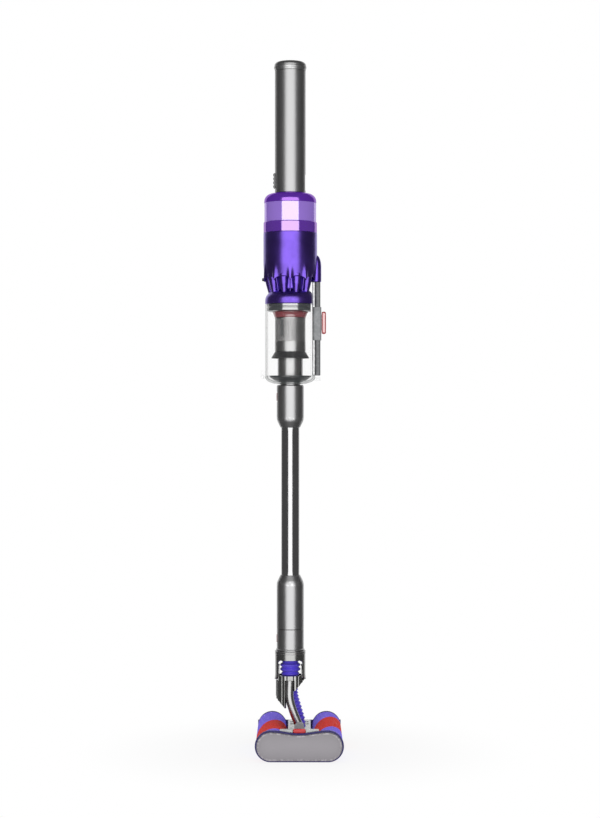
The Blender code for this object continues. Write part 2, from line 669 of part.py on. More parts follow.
# ---------------------------------------------------------------- bin
def bin_pieces(finishes):
    lid = turned(
        "bin_lid",
        [(BIN_R - 0.0002, LID_TOP), (BIN_R - 0.0002, LID_TOP - 0.0045), (BIN_R - 0.0042, LID_TOP - 0.0092),
         (0.0250, LID_BASE + 0.0006), (PORT_R + 0.0005, LID_BASE), (PORT_R + 0.0005, LID_BASE + 0.0024),
         (0.0246, LID_BASE + 0.0030), (BIN_R - 0.0055, LID_TOP - 0.0070), (BIN_R - 0.0026, LID_TOP - 0.0037),
         (BIN_R - 0.0026, LID_TOP)],
        finish=finishes["clear"],
    )
    join(
        lid,
        box("lid_tongue", at(BIN_R - 0.0020, -0.0060, LID_TOP - 0.0078), at(RAIL_OUT, 0.0060, LID_TOP - 0.0030)),
        rod("lid_knuckle", (HINGE_X, -LUG_HALF, HINGE_Z), (HINGE_X, LUG_HALF, HINGE_Z), HINGE_R),
        box("lid_lug", (HINGE_X, -LUG_HALF, HINGE_Z - HINGE_R), (HINGE_X + HINGE_OUT + 0.0015, LUG_HALF,
                                                                HINGE_Z + 0.0015)),
    )
    bore = (HINGE_X, -0.0300, HINGE_Z), (HINGE_X, 0.0300, HINGE_Z)
    cut(lid, rod("lid_bore", *bore, HINGE_PIN_R + CLEAR, sides=12))
    turned(
        "lid_seal",
        [(0.0325, LID_TOP - 0.0001), (0.0325, LID_TOP - 0.0018), (0.0240, LID_BASE + 0.0056),
         (0.0170, LID_BASE + 0.0034), (0.0170, LID_BASE + 0.0058), (0.0232, LID_BASE + 0.0076),
         (0.0305, LID_TOP - 0.0001)],
        finish=finishes["dark"],
    )
    inner_low, inner_high = BIN_BASE - 0.001, BIN_TOP + 0.001
    shell = turned("bin_shell", [(0.0, BIN_TOP), (BIN_R, BIN_TOP), (BIN_R, BIN_BASE), (0.0, BIN_BASE)],
                   finish=finishes["clear"], sides=WIDE_SIDES)
    cut(shell, box("bin_flat", at(BIN_FLAT, -0.05, inner_low), at(0.06, 0.05, inner_high)))
    hollow = turned("bin_hollow", [(0.0, inner_high), (BIN_R - BIN_WALL, inner_high),
                                   (BIN_R - BIN_WALL, inner_low), (0.0, inner_low)], sides=WIDE_SIDES)
    boolean(hollow, "DIFFERENCE", box("hollow_flat", at(BIN_FLAT - BIN_WALL, -0.06, inner_low - 0.001),
                                      at(0.07, 0.06, inner_high + 0.001)))
    lug_low, lug_high = LUG_HALF + CLEAR, 2 * LUG_HALF + CLEAR
    for side in (-1, 1):
        low, high = sorted((side * lug_low, side * lug_high))
        join(
            shell,
            rod(f"bin_knuckle_{side}", (HINGE_X, low, HINGE_Z), (HINGE_X, high, HINGE_Z), HINGE_R),
            box(f"bin_lug_{side}", (HINGE_X - HINGE_R, low, HINGE_Z), (HINGE_X + 0.0016, high, HINGE_Z + 0.0110)),
            box(f"bin_foot_{side}", (HINGE_X - HINGE_R, low, BIN_BASE + 0.0022),
                (HINGE_X + HINGE_OUT + 0.0015, high, HINGE_Z + 0.0110)),
        )
    cut(shell, rod("shell_bore", *bore, HINGE_PIN_R + CLEAR, sides=12), hollow)
    pin_end = lug_high - CLEAR
    rod("lid_hinge_pin", (HINGE_X, -pin_end, HINGE_Z), (HINGE_X, pin_end, HINGE_Z), HINGE_PIN_R,
        finishes["steel"], sides=10)


# ---------------------------------------------------------------- shroud and cyclones
def cyclone_assembly(finishes):
    duct_bore = DUCT_R - 0.0021
    turned(
        "shroud_cage",
        [(SHROUD_R, SHROUD_TOP - CLEAR), (SHROUD_R, SKIRT_TOP + CLEAR), (DUCT_R, SKIRT_TOP + CLEAR),
         (DUCT_R, DUCT_BASE), (duct_bore, DUCT_BASE), (duct_bore, SKIRT_TOP - 0.0020),
         (SHROUD_R - WALL, SKIRT_TOP + 0.0025), (SHROUD_R - WALL, SHROUD_TOP - CLEAR)],
        finish=finishes["steel"],
    )
    skirt_base = SKIRT_TOP - SKIRT_HEIGHT
    turned(
        "shroud_skirt",
        [(SHROUD_R - 0.0001, SKIRT_TOP), (SKIRT_R, skirt_base + 0.0008), (SKIRT_R, skirt_base),
         (SKIRT_R - 0.0020, skirt_base), (DUCT_R + CLEAR, SKIRT_TOP - 0.0030), (DUCT_R + CLEAR, SKIRT_TOP)],
        finish=finishes["dark"],
    )
    turned(
        "shroud_cone",
        [(0.0280, SEAL_BASE - CLEAR), (SHROUD_R, SHROUD_TOP), (0.0180, SHROUD_TOP), (0.0180, SEAL_BASE - CLEAR)],
        finish=finishes["red"],
    )
    ring_r = BIN_R - BIN_WALL - 0.0009
    seal = turned("bin_seal_ring", [(ring_r, BIN_TOP), (ring_r, SEAL_BASE), (0.0240, SEAL_BASE), (0.0240, BIN_TOP)],
                  finish=finishes["dark"])
    cut(seal, box("seal_flat", at(BIN_FLAT - BIN_WALL - CLEAR, -0.05, SEAL_BASE - 0.001),
                  at(0.06, 0.05, BIN_TOP + 0.001)))

    pack_top = BODY_BASE - CLEAR
    pack = turned(
        "cyclone_pack",
        [(0.0300, pack_top), (0.0280, RING_TOP + 0.0100), (0.0335, RING_TOP + 0.0045), (0.0384, RING_TOP - 0.0020),
         (NECK_RING_R, RING_TOP - 0.0065), (NECK_RING_R, RING_BASE), (0.0150, RING_BASE), (0.0150, pack_top)],
        finish=finishes["purple"],
    )
    for place_index in range(1, CYCLONE_PLACES):
        turn = 2 * math.pi * place_index / CYCLONE_PLACES
        reach_top, reach_tip = BODY_R - CYCLONE_TOP_R - 0.0004, 0.0298
        start = at(reach_tip * math.cos(turn), reach_tip * math.sin(turn), RING_TOP + 0.0050)
        end = at(reach_top * math.cos(turn), reach_top * math.sin(turn), pack_top - 0.0020)
        join(pack, rod(f"cyclone_{place_index}", start, end, CYCLONE_TIP_R, r_end=CYCLONE_TOP_R, sides=14))
    join(pack, rod("fixing_lug", at(-0.0380, 0, RING_TOP + 0.0250), at(-0.0438, 0, RING_TOP + 0.0250), 0.0022,
                   sides=10))
    cut(pack, box("rail_flat", at(BIN_FLAT, -0.05, RING_BASE - 0.001), at(0.06, 0.05, RAIL_TOP + 0.001)))


# ---------------------------------------------------------------- motor body, filter and cap
def motor_body(finishes):
    inner = BODY_R - WALL
    web_low = BODY_BASE + WEB_HEIGHT
    web_high = web_low + 0.0040
    web_bore = IMPELLER_R + 0.0025
    body = turned(
        "motor_housing",
        [(BODY_R, BODY_TOP), (BODY_R, BODY_BASE), (inner, BODY_BASE), (inner, web_low), (web_bore, web_low),
         (web_bore, web_high), (inner, web_high), (inner, BODY_TOP)],
        finish=finishes["purple"], sides=WIDE_SIDES,
    )
    bulge_x = RAIL_OUT + CATCH_PROUD - BULGE_R
    bulge_base = RAIL_TOP + CLEAR
    dome = bulge_base + 0.0130 + BULGE_RISE - BULGE_R
    bulge = turned(
        "rail_bulge",
        [(0.0, dome + BULGE_R * 1.6)] + [
            (BULGE_R * math.sin(math.radians(a)), dome + 1.6 * BULGE_R * math.cos(math.radians(a)))
            for a in (25, 50, 75)
        ] + [(BULGE_R, dome), (BULGE_R, bulge_base), (0.0, bulge_base)],
        centre=at(bulge_x, 0, 0), sides=20,
    )
    cut(bulge, rod("housing_bore", at(0, 0, bulge_base - 0.001), at(0, 0, BODY_TOP), inner, sides=WIDE_SIDES))
    join(body, bulge)

    stator_base = web_high + CLEAR
    turned(
        "motor_stator",
        [(STATOR_R, stator_base + STATOR_HEIGHT), (STATOR_R, stator_base), (ROTOR_R + CLEAR, stator_base),
         (ROTOR_R + CLEAR, stator_base + STATOR_HEIGHT)],
        finish=finishes["copper"], sides=24,
    )
    wheel_base = BODY_BASE + 0.0060
    rotor = turned(
        "motor_rotor",
        [(0.0, stator_base + 0.0280), (SHAFT_R, stator_base + 0.0280), (SHAFT_R, stator_base + 0.0200),
         (ROTOR_R, stator_base + 0.0200), (ROTOR_R, stator_base + 0.0020), (SHAFT_R, stator_base + 0.0020),
         (SHAFT_R, wheel_base + 0.0110), (0.0080, wheel_base + 0.0090), (IMPELLER_R, wheel_base + 0.0020),
         (IMPELLER_R, wheel_base), (0.0, wheel_base)],
        finish=finishes["steel"], sides=24,
    )
    for index in range(BLADES):
        blade = box(f"blade_{index}", (0.0060, -0.0004, wheel_base + 0.0010),
                    (IMPELLER_R - 0.0010, 0.0004, wheel_base + 0.0095))
        turn = Matrix.Rotation(2 * math.pi * index / BLADES, 4, "Z")
        blade.matrix_world = Matrix.Translation(MIDDLE) @ turn @ Matrix.Translation(blade.location)
        join(rotor, blade)

    band_top = FILTER_BASE + FILTER_BAND_HEIGHT
    band_r = BODY_R - CLEAR
    turned(
        "filter_housing",
        [(FILTER_R, FILTER_TOP), (FILTER_R, band_top + 0.0010), (band_r, band_top), (band_r, FILTER_BASE),
         (FILTER_R - WALL, FILTER_BASE), (FILTER_R - WALL, FILTER_TOP)],
        finish=finishes["clear_purple"], sides=WIDE_SIDES,
    )
    folds = 2 * PLEATS
    outer, inner = FILTER_R - WALL - 0.0018, FILTER_R - WALL - 0.0075
    star = [
        ((outer if i % 2 else inner) * math.cos(2 * math.pi * i / folds),
         (outer if i % 2 else inner) * math.sin(2 * math.pi * i / folds))
        for i in range(folds)
    ]
    pleats = plate("filter_cartridge", star, -0.0200, 0.0200, finishes["paper"])
    pleats.matrix_world = Matrix.Translation(at(0, 0, FILTER_BASE + FILTER_HEIGHT / 2))
    cut(pleats, rod("filter_bore", at(0, 0, FILTER_BASE), at(0, 0, FILTER_TOP), inner - 0.0080, sides=24))

    shoulder = 0.0100
    rounding = arc_points(CAP_R - shoulder, CAP_TOP - shoulder, shoulder, 90, 0, 5)
    hub_r = HANDLE_R - HANDLE_WALL - 0.0006
    turned(
        "top_cap",
        [(hub_r, CAP_TOP + HUB_HEIGHT), (hub_r, CAP_TOP)] + rounding
        + [(CAP_R, CAP_BASE), (CAP_R - WALL, CAP_BASE), (CAP_R - WALL, CAP_TOP - shoulder),
           (CAP_R - shoulder, CAP_TOP - WALL), (hub_r - WALL, CAP_TOP - WALL), (hub_r - WALL, CAP_TOP + HUB_HEIGHT)],
        finish=finishes["dark_purple"], sides=WIDE_SIDES,
    )


# ---------------------------------------------------------------- rail and its red release
def rail(finishes):
    """The rail that the bin runs along, with the catch housing, and the red release that slides down it."""
    spine = box("spine_rail", at(RAIL_IN, -RAIL_HALF, BIN_BASE), at(RAIL_OUT, RAIL_HALF, RAIL_TOP), finishes["grey"])
    catch_out = RAIL_OUT + CATCH_PROUD
    join(spine, box("catch_housing", at(RAIL_IN, -RAIL_HALF - 0.0010, CATCH_TOP - CATCH_HEIGHT),
                    at(catch_out, RAIL_HALF + 0.0010, CATCH_TOP)))
    trigger_top = CATCH_TOP - 0.0070
    trigger_base = trigger_top - TRIGGER_HEIGHT
    stem_top = trigger_top - 0.0050
    stem_base = trigger_base + 0.0060
    stem_in = catch_out - 0.0040
    cut(spine, box("trigger_slot", at(stem_in - CLEAR, -TRIGGER_STEM_HALF - CLEAR, stem_base - TRIGGER_TRAVEL - 0.0020),
                   at(catch_out + 0.0010, TRIGGER_STEM_HALF + CLEAR, stem_top + 0.0010)))
    head = box("bin_release_slider", at(catch_out + CLEAR, -TRIGGER_HALF, trigger_base),
               at(catch_out + CLEAR + TRIGGER_REACH, TRIGGER_HALF, trigger_top), finishes["red"], 0.0020)
    join(head, box("trigger_stem", at(stem_in, -TRIGGER_STEM_HALF, stem_base), at(catch_out + 0.0020, TRIGGER_STEM_HALF, stem_top)))


# ---------------------------------------------------------------- battery handle
def handle(finishes):
    bore = HANDLE_R - HANDLE_WALL
    shell = turned(
        "handle_shell",
        [(HANDLE_R, HANDLE_TOP), (HANDLE_R, HANDLE_BASE), (bore, HANDLE_BASE), (bore, HANDLE_TOP)],
        finish=finishes["grey"],
    )
    slider_base = HANDLE_BASE + SLIDER_FOOT
    slider_top = slider_base + SLIDER_HEIGHT
    slot_travel = 0.0060
    cut(shell, box("slider_slot", at(-HANDLE_R - 0.001, -0.0023, slider_base + 0.0040),
                   at(-bore + 0.001, 0.0023, slider_top + slot_travel - 0.0030)))
    slider = box("mode_slider", at(-HANDLE_R - 0.0016, -0.0050, slider_base),
                 at(-HANDLE_R - CLEAR, 0.0050, slider_top), finishes["dark"])
    join(slider, box("slider_stem", at(-HANDLE_R - 0.0010, -0.0020, slider_base + 0.0050),
                     at(-bore, 0.0020, slider_top - 0.0040)))
    pitch = SLIDER_HEIGHT / SLIDER_RIBS
    for index in range(SLIDER_RIBS):
        low = slider_base + pitch * (index + 0.25)
        join(slider, box(f"slider_rib_{index}", at(-HANDLE_R - 0.0025, -0.0048, low),
                         at(-HANDLE_R - 0.0012, 0.0048, low + pitch / 2)))

    button_base = HANDLE_BASE + 0.0050
    button_top = button_base + 0.0220
    cut(shell, box("battery_button_pocket", at(bore - 0.001, -0.0053, button_base - CLEAR),
                   at(HANDLE_R + 0.001, 0.0053, button_top + CLEAR)))
    box("battery_release", at(HANDLE_R - 0.0024, -0.0050, button_base), at(HANDLE_R - 0.0008, 0.0050, button_top),
        finishes["dark"], 0.0004)

    cap_base = HANDLE_TOP + CLEAR
    cap_top = cap_base + END_CAP_HEIGHT
    plug = bore - CLEAR
    turned(
        "handle_end_cap",
        [(0.0, cap_top), (END_CAP_R - 0.0040, cap_top), (END_CAP_R - 0.0008, cap_top - 0.0016),
         (END_CAP_R, cap_top - 0.0045), (END_CAP_R, cap_base + 0.0008), (END_CAP_R - 0.0009, cap_base),
         (plug, cap_base), (plug, cap_base - 0.0060), (0.0, cap_base - 0.0060)],
        finish=finishes["grey"],
    )

    pack_base = HANDLE_BASE + PACK_FOOT
    ring = CELL_R * 2 / math.sqrt(3) + 0.0002
    disc_r = ring + CELL_R + 0.0003
    layer = CELL_LENGTH + 0.0010
    pack = rod("battery_pack", at(0, 0, pack_base - 0.0030), at(0, 0, pack_base + 0.0015), disc_r,
               finishes["battery"], sides=24)
    for level in range(2):
        base = pack_base + level * layer
        for cell in range(3):
            turn = 2 * math.pi * cell / 3
            x, y = ring * math.cos(turn), ring * math.sin(turn)
            join(pack, rod(f"cell_{level}_{cell}", at(x, y, base), at(x, y, base + CELL_LENGTH), CELL_R, sides=14))
        join(pack, rod(f"cell_plate_{level}", at(0, 0, base + CELL_LENGTH - 0.0015),
                       at(0, 0, base + CELL_LENGTH + 0.0025), disc_r, sides=24))


# ---------------------------------------------------------------- joints
def group(name, where, members, parent=None):
    """An empty on a joint's axis, carrying the pieces that move together."""
    pivot = bpy.data.objects.new(name, None)
    PARTS.objects.link(pivot)
    pivot.location = where
    if parent:
        hang(pivot, parent)
    for member in members:
        hang(bpy.data.objects[member], pivot)
    return pivot


def hang(child, parent):
    bpy.context.view_layer.update()
    world = child.matrix_world.copy()
    child.parent = parent
    child.matrix_parent_inverse = parent.matrix_world.inverted()
    child.matrix_world = world


def assemble():
    head = group("head_frame", (0, 0, 0), [
        "head_chassis", "head_cover", "end_frame_front", "end_frame_rear", "end_cap_front", "end_cap_rear",
        "roller_motor_a", "roller_motor_b", "roller_bearing_a", "roller_bearing_b", "lower_pivot_pin_front",
        "lower_pivot_pin_back"])
    group("end_release_travel", (0, -CHASSIS_END, BRIDGE_TOP), ["end_cap_release"], head)
    for tag, x in (("a", -ROLLER_X), ("b", ROLLER_X)):
        group("roller_axis_" + tag, (x, 0, ROLLER_Z), ["roller_core_" + tag, "roller_sleeve_" + tag], head)
    for index, (x, y) in enumerate(castor_places(), 1):
        swivel = group(f"castor_swivel_{index}", (x, y, WHEEL_TOP), [f"castor_fork_{index}"], head)
        group(f"castor_axle_{index}", (x + CASTOR_TRAIL, y, WHEEL_Z), [f"castor_wheel_{index}"], swivel)
    lean = group("lower_pivot", (0, 0, PIVOT_Z), [
        "neck_arm", "neck_knuckle", "upper_pivot_pin_left", "upper_pivot_pin_right", "neck_hose",
        "neck_bellows"], head)
    roll = group("upper_pivot", at(0, 0, ROLL_Z), ["neck_collar", "head_socket"], lean)
    group("head_button_travel", at(-FITTING_R, 0, SOCKET_BASE), ["head_release_button"], roll)
    stick = group("wand_seam", at(0, 0, SEAM_Z), ["wand_lower_fitting", "wand_tube", "wand_upper_fitting"], roll)
    group("wand_button_travel", at(-FITTING_R, 0, UPPER_TOP), ["wand_release_button"], stick)
    lid = group("lid_seat", at(0, 0, LID_BASE), ["bin_lid", "lid_seal", "lid_hinge_pin"], stick)
    dust = group("lid_hinge", (HINGE_X, 0, HINGE_Z), ["bin_shell"], lid)
    body = group("bin_run", at(0, 0, BIN_TOP), [
        "shroud_cage", "shroud_skirt", "shroud_cone", "cyclone_pack", "bin_seal_ring", "motor_housing",
        "motor_stator", "filter_cartridge", "filter_housing", "top_cap", "spine_rail"], dust)
    group("rotor_axis", at(0, 0, BODY_BASE), ["motor_rotor"], body)
    group("trigger_travel", at(RAIL_OUT, 0, CATCH_TOP), ["bin_release_slider"], body)
    grip = group("handle_seat", at(0, 0, HANDLE_BASE), ["handle_shell", "handle_end_cap", "battery_pack"], body)
    group("mode_travel", at(-HANDLE_R, 0, HANDLE_BASE), ["mode_slider"], grip)
    group("battery_button_travel", at(HANDLE_R, 0, HANDLE_BASE), ["battery_release"], grip)


def main():
    for old in list(bpy.data.objects):
        bpy.data.objects.remove(old)
    bpy.context.scene.collection.children.link(PARTS)
    bpy.context.scene.collection.children.link(CUTTERS)
    finishes = {
        "grey": material("satin_grey", (0.20, 0.20, 0.21), 0.35, 0.6),
        "silver": material("silver", (0.42, 0.42, 0.43), 0.25, 0.9),
        "frame": material("frame_grey", (0.45, 0.46, 0.47), 0.5),
        "clear_grey": material("clear_grey", (0.75, 0.78, 0.78), 0.2, alpha=0.6),
        "navy": material("navy", (0.03, 0.02, 0.12), 0.4),
        "cap": material("cap_grey", (0.32, 0.30, 0.32), 0.45, 0.2),
        "steel": material("steel", (0.55, 0.55, 0.56), 0.3, 1.0),
        "core": material("roller_core", (0.15, 0.15, 0.16), 0.6),
        "fleece": material("fleece", (0.25, 0.12, 0.75), 0.95),
        "rubber": material("rubber", (0.03, 0.03, 0.03), 0.8),
        "dark": material("dark", (0.04, 0.045, 0.05), 0.5),
        "red": material("red", (0.75, 0.03, 0.02), 0.35),
        "purple_rubber": material("purple_rubber", (0.10, 0.05, 0.50), 0.5),
        "purple": material("metallic_purple", (0.09, 0.04, 0.45), 0.3, 0.7),
        "dark_purple": material("dark_purple", (0.10, 0.03, 0.33), 0.3),
        "clear_purple": material("clear_purple", (0.35, 0.18, 0.75), 0.15, alpha=0.6),
        "clear": material("clear", (0.9, 0.92, 0.92), 0.05, alpha=0.3),
        "copper": material("copper", (0.60, 0.30, 0.15), 0.4, 0.8),
        "paper": material("paper", (0.80, 0.78, 0.85), 0.9),
        "battery": material("battery_wrap", (0.05, 0.20, 0.30), 0.5),
    }
    end_pieces(finishes["navy"], finishes["cap"])
    roller("a", -ROLLER_X, finishes)
    roller("b", ROLLER_X, finishes)
    chassis_and_cover(finishes)
    castors(finishes)
    neck(finishes)
    collar_and_socket(finishes)
    wand(finishes)
    bin_pieces(finishes)
    cyclone_assembly(finishes)
    motor_body(finishes)
    rail(finishes)
    handle(finishes)
    assemble()


main()
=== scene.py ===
"""Cordless stick vacuum, dressed for a close look.

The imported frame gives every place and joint. Each visible surface is worked out on a grid with numpy
and rides on the body that its node belongs to. Lengths are metres, +Z is up, and the wand's axis stands
at x = WAND_X. A warp takes the turn, radius and height of each point of a turned surface, and returns
its new radius and height.
"""

from __future__ import annotations

import logging
import math
from dataclasses import dataclass
from enum import Enum
from typing import Any, Callable, Sequence

import bmesh
import bpy
import numpy as np
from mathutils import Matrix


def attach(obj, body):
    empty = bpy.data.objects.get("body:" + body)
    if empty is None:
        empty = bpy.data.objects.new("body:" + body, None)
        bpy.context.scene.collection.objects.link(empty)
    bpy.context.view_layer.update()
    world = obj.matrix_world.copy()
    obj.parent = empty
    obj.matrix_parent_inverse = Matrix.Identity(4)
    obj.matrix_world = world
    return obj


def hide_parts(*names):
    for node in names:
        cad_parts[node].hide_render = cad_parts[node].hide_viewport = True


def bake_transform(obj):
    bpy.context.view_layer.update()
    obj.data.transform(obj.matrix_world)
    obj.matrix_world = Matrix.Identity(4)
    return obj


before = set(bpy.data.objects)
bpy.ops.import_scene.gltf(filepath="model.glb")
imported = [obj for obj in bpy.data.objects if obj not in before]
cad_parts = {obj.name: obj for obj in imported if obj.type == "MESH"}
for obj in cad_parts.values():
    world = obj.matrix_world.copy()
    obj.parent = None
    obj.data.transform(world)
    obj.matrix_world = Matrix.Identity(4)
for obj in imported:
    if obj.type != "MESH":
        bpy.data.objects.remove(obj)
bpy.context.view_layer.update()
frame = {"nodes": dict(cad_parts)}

LOG = logging.getLogger("stick_vacuum")
WAND_X = -0.0142
CLEAR = 0.0003  # gap between neighbours
ROUND = 128  # columns of a turned surface
MERGE = 0.000002  # points closer than this are one
SLIVER = 0.0000005  # edges shorter than this are dropped

# Sizes and places that two sub-assemblies share.
PIVOT_Z = 0.0415
SEAM_Z = 0.1910
FITTING_R = 0.0211
BIN_R = 0.0392
BIN_TOP = 0.6977
MOTOR_BASE = 0.7470
POCKET_DEPTH = 0.0026

Array = np.ndarray
Warp = Callable[[Array, Array, Array], "tuple[Array, Array]"]


class Axis(Enum):
    """The direction that a turned or thickened shape runs in."""

    X = "x"
    Y = "y"
    Z = "z"


def tone(red: float, green: float, blue: float) -> tuple[float, float, float, float]:
    """Turns a display colour into a linear one.

    Args:
        red: Red from 0 to 255.
        green: Green from 0 to 255.
        blue: Blue from 0 to 255.

    Returns:
        The linear colour with an alpha of 1.
    """
    share = np.array([red, green, blue]) / 255
    linear = np.where(share <= 0.04045, share / 12.92, ((share + 0.055) / 1.055) ** 2.4)
    return (*(float(c) for c in linear), 1.0)


# ---------------------------------------------------------------- shader arithmetic
class Signal:
    """An output inside a material, with arithmetic that adds Math nodes."""

    def __init__(self, paint: Paint, socket: bpy.types.NodeSocket) -> None:
        """Wraps one output socket of a paint's nodes."""
        self.paint = paint
        self.socket = socket

    def _pair(self, operation: str, first: Any, second: Any) -> Signal:
        """One Math node on two values.

        Args:
            operation: The Math node's operation.
            first: A number or a signal.
            second: A number or a signal.

        Returns:
            The node's result.
        """
        return self.paint.node("ShaderNodeMath", {"operation": operation}, {0: first, 1: second})

    def __add__(self, other: Any) -> Signal:
        """Sum."""
        return self._pair("ADD", self, other)

    def __radd__(self, other: Any) -> Signal:
        """Sum, the other way round."""
        return self._pair("ADD", other, self)

    def __sub__(self, other: Any) -> Signal:
        """Difference."""
        return self._pair("SUBTRACT", self, other)

    def __rsub__(self, other: Any) -> Signal:
        """Difference, the other way round."""
        return self._pair("SUBTRACT", other, self)

    def __mul__(self, other: Any) -> Signal:
        """Product."""
        return self._pair("MULTIPLY", self, other)

    def __rmul__(self, other: Any) -> Signal:
        """Product, the other way round."""
        return self._pair("MULTIPLY", other, self)

    def __pow__(self, other: float) -> Signal:
        """Power."""
        return self._pair("POWER", self, other)

    def wrapped(self) -> Signal:
        """The part after the decimal point."""
        return self._pair("FRACT", self, 0.0)

    def above(self, low: float, high: float) -> Signal:
        """Rises smoothly from 0 at low to 1 at high.

        Args:
            low: Where the rise begins.
            high: Where it ends.

        Returns:
            The eased share.
        """
        settings = {"interpolation_type": "SMOOTHSTEP", "clamp": True}
        return self.paint.node("ShaderNodeMapRange", settings,
                               {"Value": self, "From Min": low, "From Max": high})


class Paint:
    """A material being mixed: its node tree, its main shader and the ways to add to them."""

    def __init__(self, name: str) -> None:
        """Starts a material whose only nodes are the main shader and the output."""
        self.material = bpy.data.materials.new(name)
        self.material.use_nodes = True
        self.tree = self.material.node_tree
        self.shader = self.tree.nodes["Principled BSDF"]

    def node(self, kind: str, settings: dict[str, Any] | None = None, inputs: dict[Any, Any] | None = None,
             out: int | str = 0) -> Signal:
        """Adds any node.

        Args:
            kind: The node's type.
            settings: Its own settings, set first; "stops" gives a ramp its (place, colour) pairs.
            inputs: Values or signals by socket name or number.
            out: The output that is wanted.

        Returns:
            That output.
        """
        made = self.tree.nodes.new(kind)
        for key, value in (settings or {}).items():
            if key == "stops":
                self._set_stops(made.color_ramp, value)
            else:
                setattr(made, key, value)
        for key, value in (inputs or {}).items():
            self.link(made.inputs[key], value)
        return Signal(self, made.outputs[out])

    @staticmethod
    def _set_stops(ramp: bpy.types.ColorRamp, stops: Sequence[tuple[float, Sequence[float]]]) -> None:
        """Gives a ramp its colours.

        Args:
            ramp: The ramp.
            stops: Its (place, colour) pairs.
        """
        while len(ramp.elements) < len(stops):
            ramp.elements.new(1.0)
        for element, (place, colour) in zip(ramp.elements, stops):
            element.position, element.color = place, colour

    def link(self, socket: bpy.types.NodeSocket, value: Any) -> None:
        """Feeds a socket with a signal, or sets its value.

        Args:
            socket: The socket.
            value: A signal, a number or a colour.
        """
        if isinstance(value, Signal):
            self.tree.links.new(value.socket, socket)
        else:
            socket.default_value = value

    def put(self, **values: Any) -> None:
        """Sets or feeds the main shader's sockets, named with _ for a space."""
        for key, value in values.items():
            self.link(self.shader.inputs[key.replace("_", " ")], value)

    def place(self, stretch: Sequence[float] = (1, 1, 1)) -> Signal:
        """Object coordinates, stretched along each axis."""
        where = self.node("ShaderNodeTexCoord", out="Object")
        return self.node("ShaderNodeMapping", {}, {"Vector": where, "Scale": tuple(stretch)})

    def around(self) -> tuple[Signal, Signal]:
        """The share of a turn and the height that the piece's own map holds."""
        split = self.node("ShaderNodeSeparateXYZ", {}, {0: self.node("ShaderNodeUVMap", {"uv_map": "turns"})})
        return split, Signal(self, split.socket.node.outputs[1])

    def noise(self, scale: float, detail: float = 2.0, stretch: Sequence[float] = (1, 1, 1)) -> Signal:
        """Soft noise from 0 to 1.

        Args:
            scale: Blotches per metre.
            detail: Finer layers.
            stretch: How much faster it changes along each axis.

        Returns:
            The noise.
        """
        settings = {"noise_dimensions": "3D"}
        return self.node("ShaderNodeTexNoise", settings,
                         {"Vector": self.place(stretch), "Scale": scale, "Detail": detail})

    def cells(self, scale: float) -> Signal:
        """Small cells, as the distance to the middle of the nearest one."""
        return self.node("ShaderNodeTexVoronoi", {}, {"Vector": self.place(), "Scale": scale})

    def blend(self, share: Any, first: Any, second: Any) -> Signal:
        """Mixes two colours.

        Args:
            share: How much of the second.
            first: A colour or signal.
            second: A colour or signal.

        Returns:
            The mixed colour.
        """
        return self.node("ShaderNodeMix", {"data_type": "RGBA"}, {0: share, 6: first, 7: second}, 2)

    def worn(self) -> Signal:
        """1 on the rounded edges of a piece, broken up by noise."""
        edge = self.node("ShaderNodeAttribute", {"attribute_name": "edge"}, out="Fac")
        return edge * self.noise(260.0, 4.0).above(0.42, 0.68)

    def relief(self, height: Signal, depth: float) -> Signal:
        """A bump from a height between 0 and 1 that is depth metres deep."""
        return self.node("ShaderNodeBump", {}, {"Height": height, "Strength": 1.0, "Distance": depth})


# ---------------------------------------------------------------- finishes
@dataclass(frozen=True)
class Finish:
    """A surface finish. Each kind mixes its own nodes."""

    name: str
    colour: tuple[float, float, float, float]
    roughness: float = 0.35

    def mix(self, paint: Paint) -> None:
        """Fills a new paint with the finish's nodes.

        Args:
            paint: The paint, which holds only its main shader.
        """
        raise NotImplementedError(paint.material.name)

    def material(self) -> bpy.types.Material:
        """The finish's material, made once."""
        found = bpy.data.materials.get(self.name)
        if found is None:
            paint = Paint(self.name)
            self.mix(paint)
            found = paint.material
        return found


@dataclass(frozen=True)
class SatinMetal(Finish):
    """Satin metallic surface: a fine brushed grain, cloudy gloss, bright worn edges and, for some, a top
    darkened as painted shade.
    """

    metallic: float = 1.0
    stretch: tuple[float, float, float] = (1.0, 1.0, 0.06)
    grain: float = 1600.0
    # fade: height in metres up to which the colour darkens towards the top, as painted shade; 0 leaves it
    # out.
    fade: float = 0.0

    def mix(self, paint: Paint) -> None:
        """Brushed streaks and clouds of gloss over the colour, paler edges, and for some a top darkened as
        painted shade.
        """
        streak = paint.noise(self.grain, 2.0, self.stretch)
        cloud = paint.noise(38.0, 3.0)
        dull = tuple(c * 0.86 for c in self.colour[:3]) + (1.0,)
        pale = tuple(min(1.0, c * 1.55 + 0.05) for c in self.colour[:3]) + (1.0,)
        base = paint.blend(streak * 0.5 + cloud * 0.5, dull, self.colour)
        # Painted shade: higher up, the colour is mixed towards half its value, 0.8 of the way from the fade
        # height on.
        if self.fade:
            split = paint.node("ShaderNodeSeparateXYZ", {}, {0: paint.place()}, "Z")
            deep = tuple(c * 0.5 for c in self.colour[:3]) + (1.0,)
            base = paint.blend(split.above(0.0, self.fade) * 0.8, base, deep)
        worn = paint.worn()
        paint.put(Base_Color=paint.blend(worn * 0.55, base, pale), Metallic=self.metallic)
        paint.put(Roughness=self.roughness - 0.05 + cloud * 0.09 + streak * 0.04 - worn * 0.06)
        paint.put(Normal=paint.relief(streak, 0.000006))


